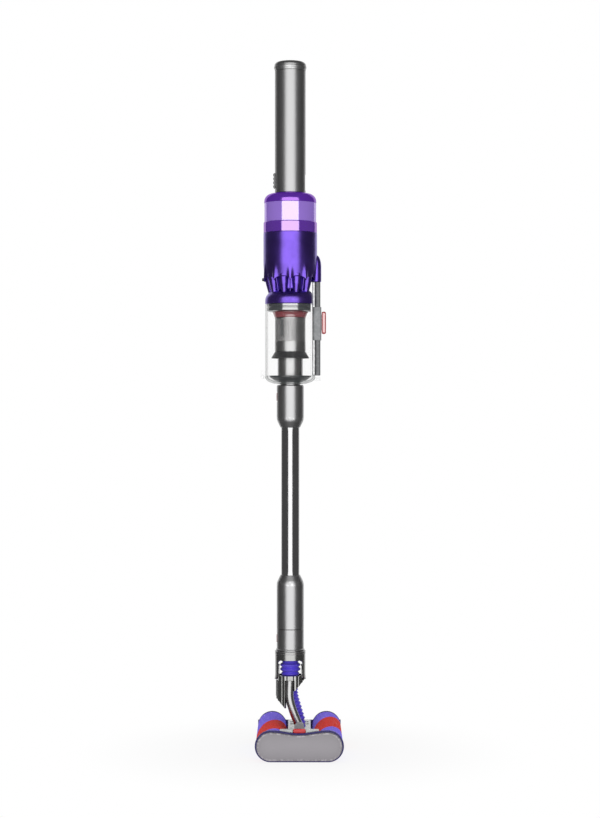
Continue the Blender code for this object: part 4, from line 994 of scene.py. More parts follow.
@dataclass
class Roller:
    """A fleece roller on its core."""

    tag: str
    x: float
    finish: Fleece
    radius: float = 0.0230
    core_radius: float = 0.0177
    height: float = 0.0240
    half: float = 0.0917
    rows: int = 330
    columns: int = 230
    tufts: int = 9000

    def pile(self) -> Patch:
        """The sleeve: a thick ring whose outer side is roughened by waves and by fine noise."""
        chance = np.random.default_rng(7 if self.tag == "a" else 8)
        corners = [(self.core_radius, self.half, 0.0), (self.radius, self.half, 0.0026),
                   (self.radius, -self.half, 0.0026), (self.core_radius, -self.half, 0.0)]

        def rough(turn: Array, radius: Array, height: Array) -> tuple[Array, Array]:
            """Lowers the outer side by up to half a millimetre."""
            fine = chance.random(radius.shape)
            wave = 0.5 + 0.5 * np.sin(turn * 9 + height * 420) * np.sin(turn * 14 - height * 310 + 1.0)
            soft = (radius > self.core_radius + 0.001) * 1.0
            return radius - soft * (0.00030 * fine + 0.00022 * wave), height + soft * 0.0001 * (fine - 0.5)

        return turned(corners, (self.x, self.height), Axis.Y, angles=self.columns, warp=rough,
                      spacing=2 * self.half / self.rows)

    def fibres(self) -> Patch:
        """Tufts of pile: thin bent blades, each a strip of two quads that leans at random."""
        chance = np.random.default_rng(17 if self.tag == "a" else 18)
        phi = chance.random(self.tufts) * 2 * math.pi
        y = (chance.random(self.tufts) * 2 - 1) * (self.half - 0.0016)
        lean = (chance.random((self.tufts, 2)) - 0.5) * 0.0011
        out = np.array([-0.0006, 0.0, 0.00035])[None] * (0.7 + 0.3 * chance.random((self.tufts, 1)))
        width = 0.00010 * np.array([1.0, 0.8, 0.15])
        side = np.array([-1.0, 1.0])
        turn = phi[:, None] + (lean[:, :1] * np.array([0.0, 0.4, 1.0])) / self.radius
        angle = turn[:, :, None] + side * (width / self.radius)[None, :, None]
        radius = np.repeat((self.radius - 0.0003 + out)[:, :, None], 2, axis=2)
        along = np.repeat((y[:, None] + lean[:, 1:] * np.array([0.0, 0.4, 1.0]))[:, :, None], 2, axis=2)
        points = np.stack([self.x + radius * np.cos(angle), along, self.height + radius * np.sin(angle)],
                          axis=-1)
        base = np.arange(self.tufts)[:, None, None] * 6
        quads = base + np.array([[0, 1, 3, 2], [2, 3, 5, 4]])[None]
        maps = np.stack([angle / (2 * math.pi), along], axis=-1).reshape(-1, 2)
        quads = quads.reshape(-1, 4)
        return Patch(points.reshape(-1, 3), quads, maps[quads].reshape(-1, 2), np.zeros(self.tufts * 6))

    def build(self) -> None:
        """Makes the sleeve and its pile, and dresses the core."""
        body = f"roller_{self.tag}"
        piece(f"fleece_{self.tag}", self.pile(), self.finish, body, [f"roller_sleeve_{self.tag}"],
              180.0)
        piece(f"fleece_pile_{self.tag}", self.fibres(), self.finish, body)
        dress(Look.core, f"roller_core_{self.tag}")


@dataclass
class Castors:
    """The four small wheels under the head."""

    trail: float = 0.0020
    wheel_radius: float = 0.0042
    wheel_half: float = 0.0021
    wheel_height: float = 0.0045

    def build(self) -> None:
        """Makes a grooved tyre for each castor and dresses its fork."""
        places = [(x, y) for y in (-0.078, 0.078) for x in (-0.010, 0.010)]
        r, h = self.wheel_radius, self.wheel_half
        for index, (x, y) in enumerate(places, 1):
            tyre = turned([(0.0012, h, 0), (r * 0.6, h, 0.0002), (r * 0.66, h * 0.8, 0.0002),
                           (r - 0.0008, h, 0.0003),
                           (r, h * 0.55, 0.0005), (r, h * 0.2, 0.0001), (r - 0.0004, 0.0, 0.0002),
                           (r, -h * 0.2, 0.0001),
                           (r, -h * 0.55, 0.0005), (r - 0.0008, -h, 0.0003), (r * 0.66, -h * 0.8, 0.0002),
                           (r * 0.6, -h, 0.0002), (0.0012, -h, 0)], (x + self.trail, self.wheel_height),
                          Axis.Y, angles=48, warp=lambda phi, radius, height, y=y: (radius, height + y))
            piece(f"castor_tyre_{index}", tyre, Look.rubber, f"wheel_{index}",
                  [f"castor_wheel_{index}"])
            dress(Look.dark, f"castor_fork_{index}")


# ---------------------------------------------------------------- neck
@dataclass
class Neck:
    """The bent arms, the slanted knuckle round them, and the ribbed hose and bellows."""

    pivot: float = PIVOT_Z
    arm_y: float = 0.0157
    arm_radius: float = 0.0065
    hose_radius: float = 0.0088
    knuckle_radius: float = 0.0225
    knuckle_bore: float = 0.0166
    knuckle_top: float = 0.1190
    slot_left: float = -0.0227
    slot_right: float = -0.0073
    arm_top: float = 0.1120
    stations: int = 90

    def arms(self) -> None:
        """Two tubes on the bent route, the pivot eyes at their feet, and the web between their tops."""
        route = [(-0.0150, 0.1119), (-0.0150, 0.0840), (-0.0080, 0.0600), (0.0, self.pivot)]
        patches = []
        for side in (-1, 1):
            line = path_through([(x, side * self.arm_y, z) for x, z in route], self.stations)
            patches.append(carried(line, np.full(self.stations, self.arm_radius - 0.0001), 56))
            low, high = sorted((side * 0.0093, side * 0.0222))
            patches.append(turned([(0.0029, low, 0), (0.0070, low, 0.0008), (0.0070, high, 0.0008),
                                   (0.0029, high, 0)], (0.0, self.pivot), Axis.Y, angles=64))
        patches.append(block((-0.0226, -0.0135, 0.0855), (-0.0202, 0.0135, 0.1080), Axis.X, 0.001, 0.0006))
        piece("bent_arms", patches, Look.arm, "neck", ["neck_arm"])

    def foot(self, x: Array) -> Array:
        """The knuckle's lower edge by its place across: two slants, with the arms' slot between them.

        Args:
            x: Places across, in the frame.

        Returns:
            The height of the lower edge at each.
        """
        left, right = WAND_X - self.knuckle_radius, WAND_X + self.knuckle_radius
        return np.interp(x, [left, left + 0.0008, self.slot_left, self.slot_right, right - 0.0008, right],
                         [0.0862, 0.0830, 0.0690, 0.0955, 0.1118, 0.1135])

    def knuckle(self) -> None:
        """The knuckle: a ring whose lower edge follows the slants, open where the arms and collar pass."""
        r = self.knuckle_radius
        cuts = [math.acos((x - WAND_X) / r) for x in (self.slot_right, self.slot_left, WAND_X + 0.0184,
                                                      WAND_X - 0.0184)]
        marks = np.sort(np.concatenate([cuts, [2 * math.pi - c for c in cuts]]))
        tiny = 1e-5
        phi = np.sort(np.concatenate([even(264), marks - tiny, marks + tiny]))

        def shape(turn: Array, radius: Array, height: Array) -> tuple[Array, Array]:
            """Heights run from the lower edge at 0 to the upper edge at 1."""
            x = WAND_X + r * np.cos(turn)
            slot = (x > self.slot_left) & (x < self.slot_right)
            low = np.where(slot, self.arm_top + CLEAR, self.foot(x))
            high = np.where(np.abs(x - WAND_X) > 0.0184, 0.1113, self.knuckle_top)
            high = np.maximum(high, low + 0.0006)
            flute = 0.0007 * np.abs(np.sin(11 * turn)) ** 3 * (radius > r - 0.0008)
            return radius - flute, low + (high - low) * height

        ring = turned([(r, 1.0, 0), (r - 0.0004, 1.0, 0), (self.knuckle_bore, 1.0, 0),
                       (self.knuckle_bore, 0.0, 0),
                       (r - 0.0006, 0.0, 0), (r, 0.012, 0), (r, 0.25, 0), (r, 0.5, 0), (r, 0.75, 0),
                       (r, 0.985, 0)], angles=phi, warp=shape)
        patches = [ring]
        for side in (-1, 1):
            low, high = sorted((WAND_X + side * 0.0166, WAND_X + side * 0.0184))
            patches.append(slab(oblong((-0.005, 0.1100), (0.005, 0.1360), 0.0048, 12), low, high, Axis.X,
                                0.0004))
        piece("knuckle_shield", patches, Look.shield, "neck", ["neck_knuckle"], 35.0)

    def hose(self) -> None:
        """The ribbed hose: along its line the radius rises slowly and drops fast at each rib."""
        points = [(-0.0102, 0, 0.1119), (-0.0102, 0, 0.0900), (-0.0035, 0, 0.0640), (0.0010, 0, 0.0470),
                  (0.0015, 0, 0.0353)]
        count = 340
        line = path_through(points, count)
        length = np.concatenate([[0.0], np.cumsum(np.linalg.norm(np.diff(line, axis=0), axis=1))])
        phase = (length / 0.0059) % 1.0
        tooth = np.where(phase < 0.7, phase / 0.7, (1 - phase) / 0.3)
        radii = self.hose_radius - 0.0001 - 0.0022 * (1 - tooth**0.8)
        hose = piece("ribbed_hose", carried(line, radii, 72), Look.hose, None, ["neck_hose"],
                     60.0)
        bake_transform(hose)

    def bellows(self) -> None:
        """The bellows: a barrel with round ribs, closed on its inner wall."""
        z = np.linspace(0.1142, 0.1475, 120)
        barrel = np.interp(z, [0.1142, 0.1210, 0.1280, 0.1350, 0.1395, 0.1435, 0.1475],
                           [0.0128, 0.0142, 0.0160, 0.0160, 0.0146, 0.0122, 0.0118])
        fold = (0.5 + 0.5 * np.cos(2 * math.pi * (z - 0.1170) / 0.0072)) ** 1.5
        radius = np.maximum(barrel - 0.0026 * fold, 0.0113)
        corners = [(float(r), float(h), 0.0) for r, h in zip(radius[::-1], z[::-1])]
        corners += [(0.0105, float(z[0]), 0.0), (0.0105, float(z[-1]), 0.0)]
        skin = piece("ribbed_bellows", turned(corners), Look.hose, None, ["neck_bellows"],
                     60.0)
        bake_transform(skin)

    def build(self) -> None:
        """Makes and dresses the neck."""
        self.arms()
        self.knuckle()
        self.hose()
        self.bellows()
        dress(Look.steel, "upper_pivot_pin_left", "upper_pivot_pin_right")


@dataclass
class Collar:
    """The collar on the upper pivot, and the socket that takes the wand."""

    radius: float = 0.0236
    bore: float = 0.0200
    top: float = 0.1570
    ring_base: float = 0.1430
    arm_half: float = 0.0136
    ear_face: float = 0.0187
    roll: float = 0.1300
    sweep: float = 0.0182
    fitting: float = FITTING_R
    seam: float = SEAM_Z

    def collar(self) -> None:
        """A ring with two wide arms, whose feet follow a circle about the pivot between the two windows.

        Each arm's inner side is flat, so that it passes outside the knuckle's ears as the neck rolls.
        """
        r = self.radius
        edge = [math.asin(y / r) for y in (self.arm_half, self.arm_half + 0.0012, self.arm_half + 0.0030)]
        marks = [base + sign * e for base in (0.0, math.pi) for sign in (-1, 1) for e in edge]
        turns = np.concatenate([even(144), marks, np.array(marks) + 0.004, np.array(marks) - 0.004])
        phi = np.unique(np.round(np.mod(turns, 2 * math.pi), 6))

        def shape(turn: Array, radius: Array, height: Array) -> tuple[Array, Array]:
            """Heights run from the lower edge at 0 to the ring at 1; the arms' feet flare a little."""
            y = np.abs(r * np.sin(turn))
            arm = self.roll - np.sqrt(np.clip(self.sweep**2 - y**2, 0.0, None)) + 0.0004
            corner = np.clip((y - self.arm_half) / 0.0034, 0.0, 1.0)
            window = self.ring_base - 0.0034 * (1 - np.sqrt(1 - (1 - corner) ** 2))
            low = np.where(y <= self.arm_half, arm, window)
            z = low + (self.top - low) * height
            flare = np.clip((0.1215 - z) / 0.009, 0.0, 1.0) ** 2 * 0.0010
            plane = np.minimum(self.ear_face / np.maximum(np.abs(np.cos(turn)), 0.1), self.radius - 0.0009)
            inner = (np.abs(radius - self.bore) < 0.0005) & (z < self.ring_base - 0.002)
            inner &= y <= self.arm_half + 0.0005
            wall = np.where(inner, np.maximum(radius, plane), radius)
            return wall + flare * (radius > self.bore + 0.001), z

        rings = [(r, float(step), 0.0) for step in np.linspace(1.0, 0.0, 60)[1:-1]]
        corners = [(r - 0.0007, 1.0, 0.0), (r - 0.0002, 0.99, 0.0), *rings, (r - 0.0002, 0.004, 0.0),
                   (r - 0.0005, 0.0, 0.0),
                   (self.bore, 0.0, 0.0), (self.bore, 0.5, 0.0), (self.bore, 0.80, 0.0), (0.0140, 0.82, 0.0),
                   (0.0140, 1.0, 0.0)]
        piece("collar_ring", turned(corners, angles=phi, warp=shape), Look.shield, "collar",
              ["neck_collar"], 50.0)
        hoops = [turned([(r + 0.0004, z + 0.0006, 0.0004), (r + 0.0004, z - 0.0006, 0.0004),
                         (r - 0.001, z - 0.0006, 0), (r - 0.001, z + 0.0006, 0)]) for z in (0.1562, 0.1530)]
        piece("collar_hoops", hoops, Look.fitting, "collar")

    def socket(self) -> None:
        """The socket: a straight sleeve with a stepped foot, a round rim and a pocket for its button."""
        r, base = self.fitting, self.top + CLEAR
        corners = [(r, self.seam - 0.00015, 0.0006), (r, base + 0.0030, 0.0004),
                   (r + 0.0012, base + 0.0020, 0.0004),
                   (r + 0.0012, base, 0.0004), (0.0140, base, 0.0), (0.0140, base + 0.0047, 0.0),
                   (r - 0.0039, base + 0.0047, 0.0), (r - 0.0039, self.seam - 0.00015, 0.0005)]
        piece("wand_socket", turned(corners, spacing=0.002, warp=button_pocket(base + 0.0125)), Look.fitting,
              "collar", ["head_socket"], 50.0)
        side_button("head_button_cap", base + 0.0125, "head_button", "head_release_button")

    def build(self) -> None:
        """Makes the collar and the socket."""
        self.collar()
        self.socket()


def button_pocket(base: float) -> Warp:
    """Sinks a pocket for a push button into the -X side of a fitting.

    Args:
        base: The button's foot.

    Returns:
        A warp that lowers the wall smoothly inside the pocket's outline.
    """
    def sink(turn: Array, radius: Array, height: Array) -> tuple[Array, Array]:
        """The pocket is 11.2 mm wide and 2.6 mm deep."""
        y = radius * np.sin(turn)
        inside = (np.cos(turn) < 0) & (radius > 0.0200) & (np.abs(y) < 0.0056)
        inside &= (height > base - 0.0006) & (height < base + 0.0136)
        return radius - POCKET_DEPTH * inside, height

    return sink


def side_button(name: str, base: float, body: str, node: str) -> None:
    """A red push button on the -X side: a thin rounded pad, which leaves its pocket room to be pressed into.

    Args:
        name: The piece's name.
        base: Its foot.
        body: The body it rides on.
        node: The node it stands for.
    """
    outer = -FITTING_R - 0.0004
    pad = block(at(outer, -0.005, base), at(outer + 0.0015, 0.005, base + 0.013), Axis.X, 0.0022, 0.0007,
                0.0002)
    piece(name, pad, Look.button, body, [node])


# ---------------------------------------------------------------- wand
@dataclass
class Wand:
    """The slim tube and the fittings at its ends."""

    fitting: float = FITTING_R
    tube: float = 0.0142
    wall: float = 0.0014
    seam: float = SEAM_Z
    lower_top: float = 0.2630
    upper_base: float = 0.5050
    taper: float = 0.0120
    upper_top: float = 0.5680
    port: float = 0.0155
    insert: float = 0.0250

    def lower(self) -> None:
        """Lower fitting: a sleeve with a bright lip at the seam, a rounded shoulder and a spigot below."""
        r, t = self.fitting, self.tube
        spigot = r - 0.0039 - CLEAR
        base = self.seam + 0.00015
        corners = [(t + 0.0010, self.lower_top + self.taper, 0.0005),
                   (t + 0.0016, self.lower_top + self.taper - 0.0012, 0.001),
                   (r, self.lower_top, 0.004), (r, base + 0.0004, 0.0005), (r - 0.0006, base, 0.0003),
                   (spigot, base, 0.0002),
                   (spigot, self.seam - 0.026, 0.001), (t - self.wall, self.seam - 0.026, 0.0),
                   (t - self.wall, self.lower_top - self.insert - CLEAR, 0),
                   (t + CLEAR, self.lower_top - self.insert - CLEAR, 0),
                   (t + CLEAR, self.lower_top + self.taper, 0)]
        piece("lower_sleeve", turned(corners), Look.fitting, "wand", ["wand_lower_fitting"],
              50.0)

    def tube_piece(self) -> None:
        """The tube: round, with a shallow keel at front and back that narrows its highlight."""
        t = self.tube
        low, high = self.lower_top - self.insert, self.upper_base + self.taper + self.insert

        def keel(turn: Array, radius: Array, height: Array) -> tuple[Array, Array]:
            """Draws the quarters in, as a superellipse of power 1.72 does, along the shown stretch."""
            shown = np.clip((height - self.lower_top - 0.006) / 0.01, 0, 1)
            shown = shown * np.clip((self.upper_base + 0.006 - height) / 0.01, 0, 1)
            power = 1.72
            lens = (np.abs(np.cos(turn)) ** power + np.abs(np.sin(turn)) ** power) ** (-1 / power)
            return radius * (1 + (lens - 1) * shown), height

        corners = [(t, high, 0), (t, low, 0), (t - self.wall, low, 0), (t - self.wall, high, 0)]
        piece("slim_tube", turned(corners, warp=keel, spacing=0.004), Look.tube, "wand",
              ["wand_tube"])

    def upper(self) -> None:
        """Upper fitting: shoulder, sleeve with its button pocket, and the port that enters the bin lid."""
        r, t, top = self.fitting, self.tube, self.upper_top
        rim = top + 0.0034
        corners = [(self.port, top + 0.0120, 0.0006), (self.port, rim, 0.0), (r - 0.0010, rim, 0.0004),
                   (r, rim - 0.0016, 0.001),
                   (r, self.upper_base + self.taper, 0.004), (t + 0.0016, self.upper_base + 0.0012, 0.001),
                   (t + 0.0010, self.upper_base, 0.0005), (t + CLEAR, self.upper_base, 0),
                   (t + CLEAR, self.upper_base + self.taper + self.insert + CLEAR, 0),
                   (t - self.wall, self.upper_base + self.taper + self.insert + CLEAR, 0),
                   (t - self.wall, top + 0.0120, 0)]
        piece("upper_sleeve", turned(corners, spacing=0.002, warp=button_pocket(top - 0.0215)), Look.fitting,
              "wand", ["wand_upper_fitting"], 50.0)
        side_button("wand_button_cap", top - 0.0215, "wand_button", "wand_release_button")

    def build(self) -> None:
        """Makes the wand."""
        self.lower()
        self.tube_piece()
        self.upper()


# ---------------------------------------------------------------- bin
@dataclass
class Bin:
    """The clear bin with its flat rail side, the lid with its lens and seal, and the hinge."""

    radius: float = BIN_R
    wall: float = 0.0020
    flat: float = 0.0342
    base: float = 0.5863
    top: float = BIN_TOP
    lid_base: float = 0.5726
    lid_top: float = 0.5860
    hinge_x: float = -0.0574
    hinge_z: float = 0.5840

    def flattened(self, turn: Array, radius: Array, height: Array) -> tuple[Array, Array]:
        """Limits the reach towards +X to the flat side, less the wall for the inner side.

        Args:
            turn: Each column's angle.
            radius: The radii.
            height: The heights.

        Returns:
            The new radii and heights.
        """
        reach = np.where(radius > self.radius - self.wall / 2, self.flat, self.flat - self.wall)
        across = np.maximum(np.cos(turn), 1e-6)
        return np.minimum(radius, reach / across) * (np.cos(turn) > 0) + radius * (np.cos(turn) <= 0), height

    def shell(self) -> None:
        """The bin: a thin wall with rounded rims and two hinge ears."""
        r, w = self.radius, self.wall
        corners = [(r, self.top, 0.0007), (r, self.base, 0.0007), (r - w, self.base, 0.0003),
                   (r - w, self.top, 0.0003)]
        patches = [turned(corners, warp=self.flattened, spacing=0.008, angles=180)]
        for side in (-1, 1):
            low, high = sorted((side * 0.0040, side * 0.0077))
            outline = np.array([[self.hinge_x - 0.0030, 0.5950], [self.hinge_x - 0.0030, 0.5840],
                                [self.hinge_x - 0.0021, 0.5819], [self.hinge_x, 0.5810],
                                [self.hinge_x + 0.0016, 0.5816],
                                [self.hinge_x + 0.0016, 0.5865], [self.hinge_x + 0.0045, 0.5868],
                                [self.hinge_x + 0.0045, 0.5935]])
            patches.append(slab(outline, low, high, Axis.Y, 0.0004))
        piece("clear_bin", patches, Look.clear, "bin", ["bin_shell"], 60.0)

    def lid(self) -> None:
        """The lid: a shallow clear dish with a rolled rim, its rail tongue and its middle hinge knuckle."""
        r, b, t = self.radius, self.lid_base, self.lid_top
        corners = [(r - 0.0002, t, 0.0006), (r - 0.0002, t - 0.0045, 0.003), (r - 0.0042, t - 0.0092, 0.004),
                   (0.0250, b + 0.0006, 0.004), (0.0160, b, 0.0006), (0.0160, b + 0.0024, 0.0006),
                   (0.0246, b + 0.0030, 0.004),
                   (r - 0.0055, t - 0.0070, 0.004), (r - 0.0026, t - 0.0037, 0.002), (r - 0.0026, t, 0.0004)]
        patches = [turned(corners)]
        patches.append(block(at(r - 0.0020, -0.006, t - 0.0078), at(0.0470, 0.006, t - 0.0030), Axis.Z, 0.002,
                             0.0008))
        patches.append(turned([(0.0016, -0.0037, 0), (0.0030, -0.0037, 0.0003), (0.0030, 0.0037, 0.0003),
                               (0.0016, 0.0037, 0)], (self.hinge_x, self.hinge_z), Axis.Y, angles=40))
        patches.append(block((self.hinge_x, -0.0037, 0.5812), (self.hinge_x + 0.0055, 0.0037, 0.5853), Axis.Y,
                             0.001, 0.0004))
        piece("lid_lens", patches, Look.lens, "lid", ["bin_lid"], 60.0)
        seal = [(0.0325, t - 0.0001, 0.0004), (0.0325, t - 0.0018, 0.001), (0.0240, b + 0.0056, 0.002),
                (0.0170, b + 0.0034, 0.0006),
                (0.0170, b + 0.0058, 0.0006), (0.0232, b + 0.0076, 0.002), (0.0305, t - 0.0001, 0.0004)]
        piece("lid_gasket", turned(seal), Look.dark, "lid", ["lid_seal"])
        dress(Look.steel, "lid_hinge_pin")

    def build(self) -> None:
        """Makes the bin and its lid."""
        self.shell()
        self.lid()


# ---------------------------------------------------------------- cyclones
def flat_side(reach: float) -> Warp:
    """Flattens the +X side of a turned shape, where the rail lies.

    Args:
        reach: How far the shape may reach towards +X.

    Returns:
        A warp that limits the radius to the reach over the cosine of the turn.
    """
    def limit(turn: Array, radius: Array, height: Array) -> tuple[Array, Array]:
        """Only the +X half is limited."""
        across = np.maximum(np.cos(turn), 1e-6)
        return np.where(np.cos(turn) > 0, np.minimum(radius, reach / across), radius), height

    return limit


@dataclass
class Cyclones:
    """The shroud inside the bin and the ring of cyclones over it."""

    shroud: float = 0.0241
    duct: float = 0.0197
    duct_base: float = 0.5821
    skirt_top: float = 0.6231
    shroud_top: float = 0.6767
    seal_base: float = 0.6857
    bin_top: float = BIN_TOP
    ring_base: float = 0.6980
    ring_top: float = 0.7110
    body_base: float = MOTOR_BASE
    places: int = 10
    band_top: float = 0.6386
    seal_radius: float = 0.0363
    seal_flat: float = 0.0319
    neck_flat: float = 0.0341

    def shroud_pieces(self) -> None:
        """Gauze drum over a silver band, the duct below them, the flared skirt and the red cone."""
        r, d = self.shroud, self.duct
        drum = [(r - 0.0004, self.shroud_top - CLEAR, 0), (r - 0.0004, self.band_top, 0),
                (r - 0.0022, self.band_top, 0), (r - 0.0022, self.shroud_top - CLEAR, 0)]
        piece("gauze_drum", turned(drum, spacing=0.004), Look.gauze, "body")
        rim = [(r, self.shroud_top - CLEAR, 0.0004), (r, self.shroud_top - 0.0018, 0.0003),
               (r - 0.0003, self.shroud_top - 0.0018, 0), (r - 0.0003, self.shroud_top - CLEAR, 0)]
        band = [(r, self.band_top + 0.001, 0.0005), (r, self.skirt_top + CLEAR, 0.0003),
                (d, self.skirt_top + CLEAR, 0),
                (d, self.duct_base, 0.0006), (d - 0.0021, self.duct_base, 0.0006),
                (d - 0.0021, self.skirt_top - 0.002, 0),
                (r - 0.0022, self.skirt_top + 0.0025, 0), (r - 0.0022, self.band_top + 0.001, 0)]
        piece("shroud_band", [turned(band), turned(rim)], Look.band, "body", ["shroud_cage"], 50.0)
        slot = block(at(-0.0150, -0.0218, 0.6470), at(-0.0105, -0.0196, self.shroud_top - 0.0030), Axis.Y,
                     0.0008, 0.0003)
        piece("shroud_inlet", slot, Look.dark, "body")
        base = self.skirt_top - 0.010
        skirt = [(r - 0.0001, self.skirt_top, 0.0008), (r + 0.0026, self.skirt_top - 0.0045, 0.002),
                 (0.0295, base + 0.0010, 0.0006),
                 (0.0295, base, 0.0004), (0.0275, base, 0.0004), (d + CLEAR, self.skirt_top - 0.003, 0),
                 (d + CLEAR, self.skirt_top, 0)]
        piece("flared_skirt", turned(skirt), Look.rubber, "body", ["shroud_skirt"])
        cone = [(0.0280, self.seal_base - CLEAR, 0.0004), (0.0262, self.seal_base - 0.0035, 0.002),
                (r + 0.0002, self.shroud_top, 0.0006),
                (0.0180, self.shroud_top, 0), (0.0180, self.seal_base - CLEAR, 0)]
        piece("red_cone", turned(cone), Look.cone, "body", ["shroud_cone"])

    def seal(self) -> None:
        """The glossy seal ring with a grooved wall, flat on the rail side."""
        r = self.seal_radius
        corners = [(r, self.bin_top, 0.0006), (r, self.bin_top - 0.004, 0.0004),
                   (r - 0.0006, self.bin_top - 0.0046, 0.0003),
                   (r - 0.0006, self.bin_top - 0.0058, 0.0003), (r, self.bin_top - 0.0064, 0.0004),
                   (r, self.seal_base + 0.0012, 0.0008),
                   (r - 0.0040, self.seal_base, 0.001), (0.0240, self.seal_base, 0),
                   (0.0240, self.bin_top, 0)]
        piece("seal_band", turned(corners, warp=flat_side(self.seal_flat), angles=180), Look.ring,
              "body", ["bin_seal_ring"])

    def cyclone(self, turn: float) -> Patch:
        """One cyclone: a cone that widens upwards to a rolled lip, tilted outwards.

        Args:
            turn: Its place round the axis.

        Returns:
            The closed cone.
        """
        direction = np.array([math.cos(turn), math.sin(turn), 0.0])
        centre = np.array([WAND_X, 0.0, 0.0])
        start = centre + direction * 0.0298 + [0, 0, self.ring_top + 0.0035]
        end = centre + direction * 0.0332 + [0, 0, self.body_base - 0.0016]
        length = float(np.linalg.norm(end - start))
        corners = [(0.0, length, 0), (0.0060, length, 0.0006), (0.0081, length - 0.0010, 0.0008),
                   (0.0084, length - 0.0035, 0.0006),
                   (0.0078, length - 0.0050, 0.0005), (0.0074, length - 0.0065, 0.0010),
                   (0.0068, length - 0.0150, 0.002),
                   (0.0048, 0.0040, 0.002), (0.0040, 0.0, 0.0006), (0.0, 0.0, 0)]
        cone = turned(corners, (0.0, 0.0), closed=False, angles=44)
        return tilted(cone, start, end)

    def pack(self) -> None:
        """The cyclone pack: neck ring, waisted core, nine cones with thin ribs between them, and a nub."""
        top, ring = self.body_base - CLEAR, self.ring_top
        core = [(0.0300, top, 0), (0.0282, ring + 0.0100, 0.004), (0.0335, ring + 0.0045, 0.003),
                (0.0380, ring - 0.0014, 0.003),
                (0.0394, ring - 0.0065, 0.003), (0.0394, self.ring_base, 0.0005), (0.0150, self.ring_base, 0),
                (0.0150, top, 0)]
        patches = [turned(core, warp=flat_side(self.neck_flat), angles=180)]
        for index in range(1, self.places):
            patches.append(self.cyclone(2 * math.pi * index / self.places))
        for index in range(self.places):
            turn = 2 * math.pi * (index + 0.5) / self.places
            x, y = math.cos(turn), math.sin(turn)
            if abs(turn - math.pi * 2) > 0.33 and turn > 0.33:
                start = np.array([WAND_X + 0.0312 * x, 0.0312 * y, ring + 0.0040])
                end = np.array([WAND_X + 0.0372 * x, 0.0372 * y, top - 0.0060])
                rib = turned([(0.0, 0.0330, 0), (0.0011, 0.0330, 0.0004), (0.0009, 0.0, 0.0003),
                              (0.0, 0.0, 0)], (0, 0), closed=False, angles=16)
                patches.append(tilted(rib, start, end))
        piece("cyclone_cluster", patches, Look.purple, "body", ["cyclone_pack"], 50.0)
        lug = turned([(0.0, -0.0300, 0), (0.0020, -0.0300, 0), (0.0026, -0.0284, 0.0004),
                      (0.0026, -0.0255, 0.0006),
                      (0.0014, -0.0240, 0), (0.0, -0.0240, 0)], (0.0, self.ring_top + 0.0250), Axis.X,
                     closed=False, angles=32,
                     warp=lambda phi, radius, height: (radius, height + WAND_X - 0.0140))
        piece("fixing_nub", lug, Look.dark, "body")

    def build(self) -> None:
        """Makes the shroud and the cyclones."""
        self.shroud_pieces()
        self.seal()
        self.pack()


